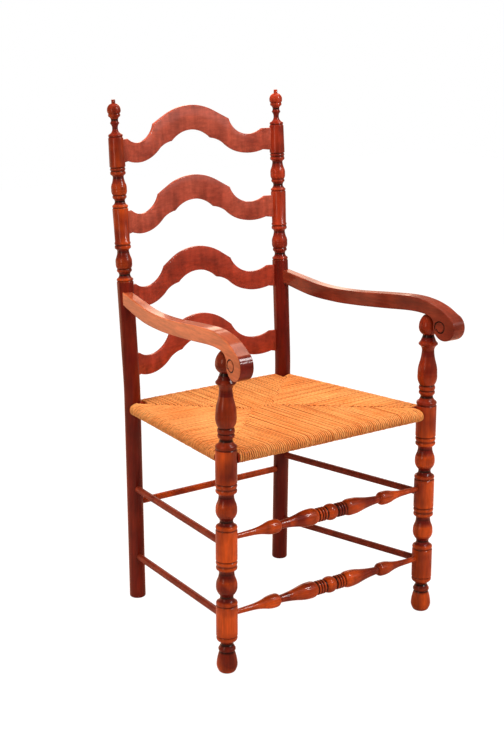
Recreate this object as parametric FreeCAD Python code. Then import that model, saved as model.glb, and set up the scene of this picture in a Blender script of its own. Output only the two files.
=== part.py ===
import FreeCAD, Part
import math
import os

# Ladderback armchair with a woven rush seat, in millimetres.
# +Z is up and the chair faces -Y. The origin lies on the floor, under the middle of the outline.
# While the pieces are made, the front posts stand on Y = 0. The last step moves them all together.

V = FreeCAD.Vector
Z_AXIS = V(0, 0, 1)
ORIGIN = V(0, 0, 0)

# Stance of the posts
front_half_spacing = 261.0
back_half_spacing = 200.0
seat_run = 431.0
foot_kick = 2.5
bend_height = 485.0
bend_run = 26.0
back_rake_deg = 3.8
back_splay_deg = 0.61

# Joints: radial clearance, gap at a tenon's end, and how near a post's axis tenons stop
joint_clearance = 0.2
tenon_end_gap = 0.8
front_tenon_stop = 9.0
back_tenon_stop = 7.5

# Front posts: a turned foot, three plain blocks for the joints, and an arm support above
front_post_radius = 21.7
foot_height = 80.0
foot_pad_radius = 13.0
foot_ball_height = 20.0
foot_neck_height = 45.5
foot_neck_radius = 15.3
foot_ring_height = 51.0
foot_ring_radius = 17.3
foot_waist_height = 59.4
foot_waist_radius = 12.6
lower_block_height = 61.5
vase_height = 99.0
middle_block_height = 60.5
seat_block_height = 66.0
arm_tenon_radius = 8.0
arm_tenon_length = 18.0
arm_support_drop = 20.5

# Depths of the turned cuts below the block surface. The finest shoulders are shares of fine_cut.
fine_cut = 1.0
bead_cut = 0.3
groove_cut = 1.6
waist_cut = 8.4
vase_neck_cut = 6.3
collar_cut = 4.8
support_neck_cut = 8.6
support_waist_cut = 10.0
support_top_cut = 11.0

# Back posts: plain round legs, turned above, with a finial
leg_radius = 17.8
turned_radius = 16.8
plain_top = 717.0
back_vase_height = 88.3
back_block_heights = (67.7, 59.2)
upper_turning_cut = 1.0
back_groove_cut = 1.5
back_waist_cut = 6.0
back_neck_cut = 5.3
foot_rounding = 4.5
finial_neck_radius = 6.0
finial_ring_radius = 9.5
finial_collar_radius = 12.9
finial_ball_radius = 14.3
finial_height = 79.5
finial_tip_radius = 4.3
finial_tip_height = 8.0

# Slats, all of one outline, bowed backwards
slat_ear_heights = (557.5, 708.0, 865.5, 1016.0)
slat_shoulder_halves = (83.0, 88.0, 94.0, 98.5)
slat_thickness = 9.0
slat_bow = 29.0
slat_front_inset = 1.0
slat_tenon_stop = 6.0
slat_end_height = 50.5
slat_crown_rise = 60.7
slat_crown_roundness = 1.33
slat_shoulder_rise = 26.0
slat_cove_half = 147.0
slat_cove_drop = 10.7
slat_ear_half = 177.0
slat_notch_rise = 3.6
slat_belly_half = 145.0
slat_belly_drop = 52.7
slat_hip_half = 84.0
slat_hip_drop = 26.4
slat_cusp_half = 52.0
slat_cusp_drop = 13.6
slat_hollow_sag = 2.4
slat_band = 53.2

# Stretchers
stretcher_radius = 7.3
back_stretcher_radius = 7.4
back_stretcher_height = 223.5
side_stretcher_front_rises = (35.5, 28.0)
side_stretcher_falls = (17.5, 11.0)
front_stretcher_rise = 42.0
front_stretcher_end_radius = 5.2
stretcher_ball_half = 13.0
stretcher_ball_radius = 17.3
stretcher_groove_radius = 12.8
stretcher_groove_width = 2.0
stretcher_ring_width = 6.8
stretcher_ring_bulge = 2.2
stretcher_rings = 3
stretcher_vase_start = 38.5
stretcher_vase_peak = 52.0
stretcher_vase_radius = 17.5
stretcher_vase_taper = 28.0
stretcher_neck = 129.0
stretcher_neck_radius = 8.0
stretcher_knob_peak = 147.0
stretcher_knob_radius = 14.4
stretcher_knob_rise = 8.0
stretcher_knob_fall = 16.0
stretcher_knob_end = 200.0
stretcher_knob_end_radius = 6.5

# Arms: a serpentine bar that widens forwards and rolls over in a scroll
arm_end_height = 682.5
arm_end_thickness = 27.0
arm_dip = 17.0
arm_dip_thickness = 30.2
arm_crown = 18.0
arm_crown_thickness = 31.5
arm_rear_width = 21.0
arm_front_width = 34.0
arm_tilt_out = 3.0
scroll_radius = 28.6
scroll_reach = 53.5
scroll_drop = 52.2
scroll_tail = 42.0
scroll_merge_deg = 108.0
scroll_cusp_deg = 14.0
arm_edge_rounding = 4.0
volute_radius = 13.0
volute_groove_width = 1.6
volute_groove_depth = 1.2
arm_rear_tenon_radius = 7.0
arm_rear_tenon_stop = 4.0

# Seat rails and the rush woven over them
front_rail_rise = 48.0
rail_fall = 6.5
rail_width = 26.0
rail_thickness = 18.0
rail_edge_rounding = 5.0
rail_tenon_radius = 6.0
rail_shoulder_gap = 1.0
rush_half_width = 18.0
rush_half_thickness = 14.0
rush_dish = 4.0
rush_web_inset = 0.2
rush_post_clearance = 0.3
stuffing_clearance = 0.3
stuffing_inset = 1.0
weave_tip_half = 26.0
weave_tip_run = 234.0
strand_layer = 5.0

os.makedirs("parts", exist_ok=True)


def back_axis(height):
    """The right back post's axis at a height: upright below the bend, raked above it."""
    x = back_half_spacing + height * math.tan(math.radians(back_splay_deg))
    y = seat_run - foot_kick * min(height, bend_height) / bend_height
    y += max(height - bend_height, 0) * math.tan(math.radians(back_rake_deg))
    return V(x, y, height)


def front_axis(height):
    """The right front post's axis at a height."""
    return V(front_half_spacing, 0, height)


def arc_edge(start, end, bulge):
    """An edge between two points of the XZ plane, bulging away from the Z axis by a distance."""
    if abs(bulge) < 1e-6:
        return Part.LineSegment(start, end).toShape()
    chord = end - start
    outward = V(chord.z, 0, -chord.x)
    outward.normalize()
    middle = (start + end) * 0.5 + outward * bulge
    return Part.Arc(start, middle, end).toShape()


def turned(stations):
    """A turned solid from (height, radius, bulge) stations, listed upwards along the Z axis."""
    points = [V(radius, 0, height) for height, radius, bulge in stations]
    edges = [Part.LineSegment(V(0, 0, points[0].z), points[0]).toShape()]
    for start, end, station in zip(points, points[1:], stations[1:]):
        edges.append(arc_edge(start, end, station[2]))
    edges.append(Part.LineSegment(points[-1], V(0, 0, points[-1].z)).toShape())
    edges.append(Part.LineSegment(V(0, 0, points[-1].z), V(0, 0, points[0].z)).toShape())
    return Part.Face(Part.Wire(edges)).revolve(ORIGIN, Z_AXIS, 360)


def rod(start, end, radius):
    """A round bar between two points."""
    return Part.makeCylinder(radius, (end - start).Length, start, end - start)


def unit(start, end):
    """The direction from one point to another."""
    direction = end - start
    direction.normalize()
    return direction


def mirrored(shape):
    """The same piece on the chair's other side."""
    return shape.mirror(ORIGIN, V(1, 0, 0))


def socket(axis_point, direction, radius, stop, post_radius):
    """The drilled hole in a post for a round tenon that leaves it along a direction."""
    near = axis_point + direction * (stop - tenon_end_gap)
    far = axis_point + direction * (post_radius * 2)
    return rod(near, far, radius + joint_clearance)


def solid_of(shape):
    """The one solid inside a cut or fused shape."""
    return max(shape.Solids, key=lambda solid: solid.Volume)


# Heights of the front post's blocks from the floor up, and of the seat rails' middles
lower_block_base = foot_height
lower_block_top = lower_block_base + lower_block_height
middle_block_base = lower_block_top + vase_height
middle_block_top = middle_block_base + middle_block_height
seat_block_base = middle_block_top + vase_height
seat_block_top = seat_block_base + seat_block_height
support_top = arm_end_height - arm_support_drop
support_height = support_top - seat_block_top
front_rail_height = seat_block_base + front_rail_rise
back_rail_height = front_rail_height - rail_fall

bead_radius = front_post_radius - bead_cut
groove_radius = front_post_radius - groove_cut


def front_foot():
    """Stations of the ball foot and its waist, up to the lowest block."""
    ring_bulge = foot_ring_radius - foot_neck_radius
    return [
        (0, foot_pad_radius, 0),
        (foot_ball_height * 0.25, foot_ball_height * 0.9, fine_cut * 0.9),
        (foot_ball_height, front_post_radius - bead_cut * 2, fine_cut * 1.3),
        (foot_neck_height, foot_neck_radius, fine_cut * 0.9),
        (foot_ring_height + fine_cut * 3, foot_neck_radius + fine_cut * 0.4, ring_bulge),
        (foot_waist_height, foot_waist_radius, fine_cut * 0.3),
        (foot_height * 0.86, bead_radius - fine_cut * 2, -fine_cut * 1.6),
        (foot_height * 0.96, bead_radius - fine_cut * 0.6, fine_cut * 1.1),
        (foot_height * 0.98, groove_radius, 0),
        (foot_height, front_post_radius, 0),
    ]


def front_vase(base):
    """Stations of the vase turning between two blocks of a front post."""
    waist = front_post_radius - waist_cut
    neck = front_post_radius - vase_neck_cut
    rise = vase_height
    return [
        (base, front_post_radius, 0),
        (base + rise * 0.025, groove_radius, -fine_cut * 0.3),
        (base + rise * 0.035, bead_radius - fine_cut * 0.6, 0),
        (base + rise * 0.1, bead_radius - fine_cut * 1.0, fine_cut),
        (base + rise * 0.21, waist, -fine_cut * 2.2),
        (base + rise * 0.25, waist + fine_cut * 1.2, 0),
        (base + rise * 0.44, front_post_radius - bead_cut, fine_cut * 2.3),
        (base + rise * 0.57, front_post_radius - fine_cut * 2.6, fine_cut * 0.7),
        (base + rise * 0.72, neck, -fine_cut * 0.8),
        (base + rise * 0.78, neck + fine_cut * 2.2, -fine_cut * 0.5),
        (base + rise * 0.795, bead_radius - fine_cut * 0.9, 0),
        (base + rise * 0.86, bead_radius - fine_cut * 0.9, fine_cut * 0.9),
        (base + rise * 0.88, groove_radius, -fine_cut * 0.2),
        (base + rise * 0.9, bead_radius - fine_cut * 0.7, 0),
        (base + rise * 0.965, bead_radius - fine_cut * 0.7, fine_cut * 0.9),
        (base + rise * 0.98, groove_radius, -fine_cut * 0.2),
        (base + rise, front_post_radius, 0),
    ]


def arm_support():
    """Stations of the slim vase, ring and ball that carry the arm."""
    base = seat_block_top
    collar = front_post_radius - collar_cut
    neck = front_post_radius - support_neck_cut
    waist = front_post_radius - support_waist_cut
    crest = front_post_radius - support_top_cut
    rise = support_height
    return [
        (base, front_post_radius, 0),
        (base + rise * 0.01, groove_radius, -fine_cut * 0.3),
        (base + rise * 0.018, bead_radius - fine_cut * 0.6, 0),
        (base + rise * 0.05, bead_radius - fine_cut * 0.8, fine_cut * 0.9),
        (base + rise * 0.115, neck, -fine_cut * 2.0),
        (base + rise * 0.13, neck + fine_cut * 2.4, 0),
        (base + rise * 0.165, collar - fine_cut * 0.4, fine_cut * 1.2),
        (base + rise * 0.173, collar - fine_cut * 1.6, 0),
        (base + rise * 0.18, collar - fine_cut * 0.4, 0),
        (base + rise * 0.222, collar - fine_cut * 0.4, fine_cut),
        (base + rise * 0.23, collar - fine_cut * 1.6, 0),
        (base + rise * 0.355, front_post_radius - bead_cut * 3, fine_cut * 2.3),
        (base + rise * 0.48, collar + fine_cut * 0.7, fine_cut),
        (base + rise * 0.617, neck, -fine_cut * 0.9),
        (base + rise * 0.68, bead_radius - fine_cut * 1.6, -fine_cut * 1.8),
        (base + rise * 0.7, bead_radius - fine_cut * 1.6, fine_cut * 0.6),
        (base + rise * 0.745, neck + fine_cut * 1.6, -fine_cut * 0.8),
        (base + rise * 0.79, waist, -fine_cut * 0.4),
        (base + rise * 0.88, front_post_radius - bead_cut * 3, fine_cut * 3.0),
        (base + rise, crest, fine_cut * 2.6),
        (base + rise, arm_tenon_radius, 0),
        (base + rise + arm_tenon_length, arm_tenon_radius, 0),
    ]


def front_post_blank():
    """A front post before its holes are drilled, on its own axis."""
    stations = front_foot()
    stations += front_vase(lower_block_top)
    stations += front_vase(middle_block_top)
    stations += arm_support()
    return turned(stations)


def back_vase(base, radius):
    """Stations of the vase turning on a back post, between two plain lengths."""
    waist = radius - back_waist_cut
    neck = radius - back_neck_cut
    groove = radius - back_groove_cut
    rise = back_vase_height
    return [
        (base, radius, 0),
        (base + rise * 0.025, groove, -fine_cut * 0.2),
        (base + rise * 0.035, radius - fine_cut * 0.6, 0),
        (base + rise * 0.085, radius - fine_cut * 1.0, fine_cut * 0.7),
        (base + rise * 0.175, waist, -fine_cut * 1.2),
        (base + rise * 0.25, radius - fine_cut * 2.6, -fine_cut * 0.9),
        (base + rise * 0.315, radius - fine_cut * 2.6, fine_cut * 0.8),
        (base + rise * 0.325, radius - fine_cut * 3.2, 0),
        (base + rise * 0.335, radius - fine_cut * 2.2, 0),
        (base + rise * 0.46, radius - fine_cut * 0.3, fine_cut * 0.9),
        (base + rise * 0.6, radius - fine_cut * 2.2, fine_cut * 0.9),
        (base + rise * 0.76, neck, -fine_cut * 0.6),
        (base + rise * 0.8, neck + fine_cut * 2.4, -fine_cut * 0.4),
        (base + rise * 0.81, radius - fine_cut * 1.4, 0),
        (base + rise * 0.885, radius - fine_cut * 1.4, fine_cut * 0.9),
        (base + rise * 0.897, groove - fine_cut * 0.6, 0),
        (base + rise * 0.91, radius - fine_cut * 1.4, 0),
        (base + rise * 0.965, radius - fine_cut * 1.4, fine_cut * 0.8),
        (base + rise * 0.975, groove - fine_cut * 0.4, 0),
        (base + rise, radius, 0),
    ]


def finial(base, radius):
    """Stations of the finial: shoulder, slim neck with a ring, collar, ball and tip."""
    rise = finial_height
    tip = base + rise - finial_tip_height
    return [
        (base, radius, 0),
        (base + rise * 0.028, radius - back_groove_cut, -fine_cut * 0.2),
        (base + rise * 0.04, radius - fine_cut * 0.9, 0),
        (base + rise * 0.1, radius - fine_cut * 1.8, fine_cut * 0.8),
        (base + rise * 0.252, finial_neck_radius, -fine_cut * 2.4),
        (base + rise * 0.36, finial_ring_radius - fine_cut * 1.2, -fine_cut * 0.8),
        (base + rise * 0.42, finial_ring_radius - fine_cut * 1.2, fine_cut * 1.3),
        (base + rise * 0.47, finial_neck_radius + fine_cut * 1.6, -fine_cut * 0.3),
        (base + rise * 0.56, finial_collar_radius - fine_cut * 0.8, -fine_cut * 1.2),
        (base + rise * 0.62, finial_collar_radius - fine_cut * 0.4, fine_cut * 0.5),
        (base + rise * 0.635, finial_collar_radius - fine_cut * 1.0, 0),
        (base + rise * 0.73, finial_ball_radius, fine_cut * 0.9),
        (tip, finial_tip_radius, fine_cut * 3.0),
        (base + rise, finial_tip_radius, 0),
    ]


def back_post_blank():
    """A right back post before its joints are cut: a bent plain leg with a turned top."""
    below = back_axis(-foot_rounding * 2)
    bend = back_axis(bend_height)
    plain_end = back_axis(plain_top)
    into = unit(below, bend)
    out = unit(bend, plain_end)
    half_turn = into.getAngle(out) / 2
    bend_radius = bend_run / math.tan(half_turn)
    inward = (out - into)
    inward.normalize()
    arc_middle = bend + inward * (bend_radius * (1 / math.cos(half_turn) - 1))
    arc_start = bend - into * bend_run
    arc_end = bend + out * bend_run
    path = Part.Wire([
        Part.LineSegment(below, arc_start).toShape(),
        Part.Arc(arc_start, arc_middle, arc_end).toShape(),
        Part.LineSegment(arc_end, plain_end).toShape(),
    ])
    section = Part.Wire([Part.Circle(below, into, leg_radius).toShape()])
    leg = path.makePipeShell([section], True, False)
    floor = Part.makeBox(leg_radius * 6, leg_radius * 6, leg_radius * 2)
    floor.translate(V(below.x - leg_radius * 3, below.y - leg_radius * 3, -leg_radius * 2))
    leg = solid_of(leg.cut(floor))
    rim = [edge for edge in leg.Edges if edge.BoundBox.ZMax < 0.01]
    leg = leg.makeFillet(foot_rounding, rim)
    stations = [(0, leg_radius, 0)]
    stations += back_vase(0, leg_radius)[1:-1]
    stations += back_vase(back_vase_height + back_block_heights[0], turned_radius)
    top = sum(back_block_heights) + back_vase_height * 2
    stations += finial(top, turned_radius - upper_turning_cut)
    turned_top = turned(stations)
    turned_top.Placement = FreeCAD.Placement(plain_end, FreeCAD.Rotation(Z_AXIS, out))
    return solid_of(leg.fuse(turned_top))


def bow(x, half_span):
    """How far a slat's front face lies behind its ends, at a distance from the middle."""
    return slat_bow * (1 - (abs(x) / half_span) ** 3)


def crown_tangent(shoulder, radius):
    """The point where a line from the shoulder touches the crown's circle."""
    centre = V(0, 0, slat_crown_rise - radius)
    reach = shoulder - centre
    lean = math.atan2(reach.x, reach.z) - math.acos(radius / reach.Length)
    return centre + V(math.sin(lean), 0, math.cos(lean)) * radius


def slat_outline(shoulder_half, end_half):
    """The slat's cut outline in the XZ plane. Its ears are level with Z = 0."""
    shoulder = V(shoulder_half, 0, slat_shoulder_rise)
    crown_end = crown_tangent(shoulder, shoulder_half * slat_crown_roundness)
    ear = V(slat_ear_half, 0, 0)
    notch = V(slat_ear_half, 0, slat_notch_rise - slat_end_height)
    hip = V(slat_hip_half, 0, -slat_hip_drop)
    cusp = V(slat_cusp_half, 0, -slat_cusp_drop)
    hollow = (hip + cusp) * 0.5 + V(0, 0, slat_hollow_sag)
    half = [
        Part.LineSegment(crown_end, shoulder),
        Part.Arc(shoulder, V(slat_cove_half, 0, -slat_cove_drop), ear),
        Part.LineSegment(ear, V(end_half, 0, 0)),
        Part.LineSegment(V(end_half, 0, 0), V(end_half, 0, -slat_end_height)),
        Part.LineSegment(V(end_half, 0, -slat_end_height), notch),
        Part.Arc(notch, V(slat_belly_half, 0, -slat_belly_drop), hip),
        Part.Arc(hip, hollow, cusp),
    ]
    right = [edge.toShape() for edge in half]
    left = [edge.mirror(ORIGIN, V(1, 0, 0)) for edge in right]
    crown_left = V(-crown_end.x, 0, crown_end.z)
    cusp_left = V(-cusp.x, 0, cusp.z)
    crown = Part.Arc(crown_left, V(0, 0, slat_crown_rise), crown_end).toShape()
    arch = Part.Arc(cusp, V(0, 0, slat_crown_rise - slat_band), cusp_left).toShape()
    ordered = Part.__sortEdges__([crown] + right + [arch] + left)
    return Part.Face(Part.Wire(ordered))


def slat_plan(shoulder_half, end_half):
    """The slat's bowed strip seen from above, with straight tenons."""
    front = []
    steps = 10
    for step in range(steps + 1):
        x = shoulder_half * (2 * step / steps - 1)
        front.append(V(x, bow(x, shoulder_half) - slat_front_inset, 0))
    back = [point + V(0, slat_thickness, 0) for point in front]
    front_curve = Part.BSplineCurve()
    front_curve.interpolate(front)
    back_curve = Part.BSplineCurve()
    back_curve.interpolate(back)
    front_y = front[0].y
    back_y = back[0].y
    corners = []
    for side in (1, -1):
        edge = [
            V(side * shoulder_half, front_y, 0),
            V(side * end_half, front_y, 0),
            V(side * end_half, back_y, 0),
            V(side * shoulder_half, back_y, 0),
        ]
        corners += [Part.LineSegment(a, b).toShape() for a, b in zip(edge, edge[1:])]
    edges = [front_curve.toShape(), back_curve.toShape()] + corners
    return Part.Face(Part.Wire(Part.__sortEdges__(edges)))


def slat_frame(ear_height):
    """Where a slat sits: tilted with the back posts, its ears at a height, and the post beside it."""
    seat = back_axis(ear_height)
    beside = back_axis(ear_height - slat_end_height / 2)
    tilt = FreeCAD.Rotation(V(1, 0, 0), -back_rake_deg)
    return FreeCAD.Placement(V(0, seat.y, ear_height), tilt), beside.x


def make_slat(ear_height, crown_shoulder):
    """One arched slat with a tenon at each end."""
    frame, post_x = slat_frame(ear_height)
    end_half = post_x - slat_tenon_stop
    shoulder_half = post_x - turned_radius
    outline = slat_outline(crown_shoulder, end_half)
    deep = slat_bow + slat_thickness
    outline.translate(V(0, -deep, 0))
    board = outline.extrude(V(0, deep * 3, 0))
    tall = slat_crown_rise + slat_belly_drop
    strip = slat_plan(shoulder_half, end_half)
    strip.translate(V(0, 0, -tall))
    slat = solid_of(board.common(strip.extrude(V(0, 0, tall * 2))))
    slat.Placement = frame.multiply(slat.Placement)
    return slat


def slat_mortise(ear_height):
    """The slot in the right back post that takes a slat's tenon."""
    frame, post_x = slat_frame(ear_height)
    end_half = post_x - slat_tenon_stop
    loose = joint_clearance
    slot = Part.makeBox(
        leg_radius * 2 + tenon_end_gap,
        slat_thickness + loose * 2,
        slat_end_height + loose * 2,
        V(end_half + tenon_end_gap - leg_radius * 2, -slat_front_inset - loose, -slat_end_height - loose),
    )
    slot.Placement = frame.multiply(slot.Placement)
    return slot


# Where the bars meet the posts' axes, on the chair's right side
front_stretcher_heights = [
    lower_block_base + front_stretcher_rise,
    middle_block_base + front_stretcher_rise,
]
side_stretcher_lines = [
    (front_axis(base + rise), back_axis(base + rise - fall))
    for base, rise, fall in zip(
        (lower_block_base, middle_block_base),
        side_stretcher_front_rises,
        side_stretcher_falls,
    )
]
side_rail_line = (front_axis(front_rail_height), back_axis(back_rail_height))
left = V(-1, 0, 0)


def tenoned_rod(line, radius):
    """A plain round stretcher whose ends go straight into both posts."""
    direction = unit(*line)
    start = line[0] + direction * front_tenon_stop
    end = line[1] - direction * back_tenon_stop
    return rod(start, end, radius)


def make_back_stretcher():
    """The plain stretcher between the back posts."""
    reach = back_axis(back_stretcher_height) + left * back_tenon_stop
    return rod(V(-reach.x, reach.y, reach.z), reach, back_stretcher_radius)


def stretcher_half(end_half):
    """Stations of half a turned front stretcher, from its middle ball to one tenon."""
    rings_start = stretcher_ball_half + stretcher_groove_width
    vase_end = stretcher_vase_peak + stretcher_vase_taper
    knob_start = stretcher_knob_peak - stretcher_knob_rise
    knob_slope = stretcher_knob_peak + stretcher_knob_fall
    stations = [
        (stretcher_ball_half, stretcher_groove_radius, 0),
        (rings_start, stretcher_groove_radius, 0),
    ]
    for ring in range(stretcher_rings):
        ring_end = rings_start + (ring + 1) * stretcher_ring_width
        stations.append((ring_end, stretcher_groove_radius, stretcher_ring_bulge))
    stations += [
        (stretcher_vase_start, stretcher_vase_radius - fine_cut * 3, 0),
        (stretcher_vase_peak, stretcher_vase_radius, fine_cut),
        (vase_end, stretcher_vase_radius - fine_cut * 3.1, fine_cut * 0.8),
        (stretcher_neck, stretcher_neck_radius, -fine_cut),
        (stretcher_neck + stretcher_groove_width, stretcher_neck_radius, 0),
        (knob_start, stretcher_knob_radius - fine_cut * 0.7, fine_cut * 1.6),
        (stretcher_knob_peak, stretcher_knob_radius, fine_cut * 0.3),
        (knob_slope, stretcher_knob_radius - fine_cut * 2.1, fine_cut * 0.5),
        (stretcher_knob_end, stretcher_knob_end_radius, -fine_cut * 1.2),
        (end_half, front_stretcher_end_radius, -fine_cut * 0.2),
    ]
    return stations


def make_front_stretcher(height):
    """A turned stretcher between the front posts, the same both ways from its ball."""
    half = stretcher_half(front_half_spacing - front_tenon_stop)
    lower = []
    for index in range(len(half) - 1, -1, -1):
        bulge = half[index + 1][2] if index + 1 < len(half) else 0
        lower.append((-half[index][0], half[index][1], bulge))
    ball_bulge = stretcher_ball_radius - stretcher_groove_radius
    upper = [(half[0][0], half[0][1], ball_bulge)] + half[1:]
    stretcher = turned(lower + upper)
    stretcher.Placement = FreeCAD.Placement(V(0, 0, height), FreeCAD.Rotation(Z_AXIS, V(1, 0, 0)))
    return stretcher


def make_rail(start, end, start_radius, end_radius, start_stop, end_stop):
    """A seat rail: a flat bar with eased edges between the posts, and a round tenon at each end."""
    direction = unit(start, end)
    bar_start = start + direction * (start_radius + rail_shoulder_gap)
    bar_length = (end - start).Length - start_radius - end_radius - rail_shoulder_gap * 2
    bar = Part.makeBox(rail_width, rail_thickness, bar_length)
    bar.translate(V(-rail_width / 2, -rail_thickness / 2, 0))
    long_edges = [edge for edge in bar.Edges if edge.BoundBox.ZLength > bar_length / 2]
    bar = bar.makeFillet(rail_edge_rounding, long_edges)
    across = direction.cross(Z_AXIS)
    across.normalize()
    upright = across.cross(direction)
    turn = FreeCAD.Rotation(across, upright * -1, direction, "ZXY")
    bar.Placement = FreeCAD.Placement(bar_start, turn)
    tenons = rod(start + direction * start_stop, end - direction * end_stop, rail_tenon_radius)
    return solid_of(bar.fuse(tenons))


def make_cross_rail(axis_point, post_radius, stop):
    """The front or back seat rail, straight across between two posts."""
    opposite = V(-axis_point.x, axis_point.y, axis_point.z)
    return make_rail(opposite, axis_point, post_radius, post_radius, stop, stop)


def arm_profile():
    """The arm's side outline in the YZ plane, as one face, and the scroll's middle."""
    rear = seat_run
    end_top = arm_end_height + arm_end_thickness * 0.537
    dip = end_top - arm_dip
    crown = dip + arm_crown
    scroll = V(0, -scroll_reach, crown - scroll_drop)

    def on_scroll(degrees):
        angle = math.radians(degrees)
        return scroll + V(0, math.cos(angle), math.sin(angle)) * scroll_radius

    merge = on_scroll(scroll_merge_deg)
    cusp = on_scroll(scroll_cusp_deg)
    top_points = [
        V(0, rear, end_top),
        V(0, rear * 0.88, end_top - arm_dip * 0.41),
        V(0, rear * 0.74, dip + arm_dip * 0.11),
        V(0, rear * 0.62, dip),
        V(0, rear * 0.46, dip + arm_crown * 0.19),
        V(0, rear * 0.27, dip + arm_crown * 0.67),
        V(0, rear * 0.1, crown),
        V(0, -scroll_reach * 0.075, crown - arm_crown * 0.17),
        V(0, -scroll_reach * 0.7, crown - arm_crown * 0.69),
        merge,
    ]
    top = Part.BSplineCurve()
    top.interpolate(
        Points=top_points,
        InitialTangent=V(0, -1, -0.22),
        FinalTangent=on_scroll(scroll_merge_deg + 90) - scroll,
    )
    under_points = [
        cusp,
        V(0, -scroll_reach * 0.3, crown - arm_crown_thickness * 1.114),
        V(0, scroll_reach * 0.09, crown - arm_crown_thickness * 0.98),
        V(0, rear * 0.1, crown - arm_crown_thickness * 0.987),
        V(0, rear * 0.27, dip + arm_crown * 0.62 - arm_crown_thickness),
        V(0, rear * 0.46, dip + arm_crown * 0.17 - arm_dip_thickness),
        V(0, rear * 0.62, dip - arm_dip_thickness),
        V(0, rear * 0.8, dip + arm_crown * 0.18 - arm_dip_thickness),
        V(0, rear, end_top - arm_end_thickness),
    ]
    under = Part.BSplineCurve()
    under.interpolate(under_points)
    edges = [
        top.toShape(),
        Part.Arc(merge, on_scroll(240), cusp).toShape(),
        under.toShape(),
        Part.LineSegment(under_points[-1], top_points[0]).toShape(),
    ]
    return Part.Face(Part.Wire(edges)), scroll


def make_arm():
    """The right arm: its side outline, narrowed in plan towards the back post, with both joints."""
    profile, scroll = arm_profile()
    post = back_axis(arm_end_height)
    rear_x = post.x + arm_tilt_out
    slope = (front_half_spacing - rear_x) / post.y
    front_y = -scroll_reach - scroll_tail
    front_x = front_half_spacing - slope * front_y
    span = front_x + arm_front_width
    slab = profile.extrude(V(span * 2, 0, 0))
    plan = Part.makePolygon([
        V(rear_x - arm_rear_width / 2, post.y, 0),
        V(rear_x + arm_rear_width / 2, post.y, 0),
        V(front_x + arm_front_width / 2, front_y, 0),
        V(front_x - arm_front_width / 2, front_y, 0),
        V(rear_x - arm_rear_width / 2, post.y, 0),
    ])
    prism = Part.Face(plan).extrude(V(0, 0, arm_end_height * 2))
    arm = solid_of(slab.common(prism))
    long_edges = []
    for edge in arm.Edges:
        box = edge.BoundBox
        if box.YLength > scroll_radius and box.ZLength > 1:
            long_edges.append(edge)
    arm = arm.makeFillet(arm_edge_rounding, long_edges)
    eye = scroll + V(0, volute_radius * 0.77, -volute_radius * 0.15)
    narrowing = (arm_front_width - arm_rear_width) / 2 / (post.y - front_y)
    for side in (1, -1):
        lean = slope + side * narrowing
        face_x = front_x + side * arm_front_width / 2 - lean * (eye.y - front_y)
        arm = arm.cut(volute_groove(V(face_x, eye.y, eye.z), lean))
    leg_below = back_axis(arm_end_height - arm_end_thickness * 2)
    leg_above = back_axis(arm_end_height + arm_end_thickness * 2)
    arm = solid_of(arm.cut(rod(leg_below, leg_above, leg_radius + joint_clearance)))
    tenon_end = V(rear_x, post.y - arm_rear_tenon_stop, arm_end_height)
    tenon_root = tenon_end + V(0, -leg_radius * 1.3, 0)
    arm = solid_of(arm.fuse(rod(tenon_root, tenon_end, arm_rear_tenon_radius)))
    return arm, rear_x, post


def volute_groove(face_point, lean):
    """The curved cut that draws the scroll's eye, square to a side face that leans inwards."""
    outer = Part.makeCylinder(volute_radius, volute_groove_depth * 2, ORIGIN, V(1, 0, 0))
    inner = Part.makeCylinder(
        volute_radius - volute_groove_width, volute_groove_depth * 2, ORIGIN, V(1, 0, 0))
    away = Part.makeBox(volute_groove_depth * 2, volute_radius * 2, volute_radius * 2)
    away.translate(V(0, 0, -volute_radius * 2.35))
    ring = outer.cut(inner).cut(away)
    ring.translate(V(-volute_groove_depth, 0, 0))
    ring.rotate(ORIGIN, Z_AXIS, math.degrees(math.atan(lean)))
    ring.translate(face_point)
    return ring


def web(corners, tips, rail_top, rail_bottom, tip_top, tip_bottom):
    """A closed pad of four panels: level along its four sides, thinner along the ridge."""
    def ring(points, lift):
        return [point + V(0, 0, lift) for point in points]
    front_left, front_right, back_right, back_left = range(4)
    faces = []
    for side_lift, tip_lift in ((rail_top, tip_top), (rail_bottom, tip_bottom)):
        c = ring(corners, side_lift)
        t = ring(tips, tip_lift)
        for loop in (
            [c[front_left], c[front_right], t[1], t[0]],
            [c[back_left], c[back_right], t[1], t[0]],
            [c[front_left], c[back_left], t[0]],
            [c[front_right], c[back_right], t[1]],
        ):
            faces.append(Part.Face(Part.makePolygon(loop + [loop[0]])))
    top = ring(corners, rail_top)
    bottom = ring(corners, rail_bottom)
    for index in range(4):
        follow = (index + 1) % 4
        loop = [top[index], top[follow], bottom[follow], bottom[index]]
        faces.append(Part.Face(Part.makePolygon(loop + [loop[0]])))
    return Part.makeSolid(Part.makeShell(faces))


def seat_corners(inset):
    """The four corners of the seat at the rails' axes, moved in along both directions."""
    front = front_axis(front_rail_height)
    back = back_axis(back_rail_height)
    drop = (front.z - back.z) / back.y
    points = []
    for x, y in (
        (-front.x + inset, inset),
        (front.x - inset, inset),
        (back.x - inset, back.y - inset),
        (-back.x + inset, back.y - inset),
    ):
        points.append(V(x, y, front.z - drop * y))
    return points


def weave_tips():
    """The two ends of the short ridge in the middle of the weave."""
    fall = rail_fall * weave_tip_run / back_axis(back_rail_height).y
    height = front_rail_height - fall
    return [V(side * weave_tip_half, weave_tip_run, height) for side in (-1, 1)]


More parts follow.
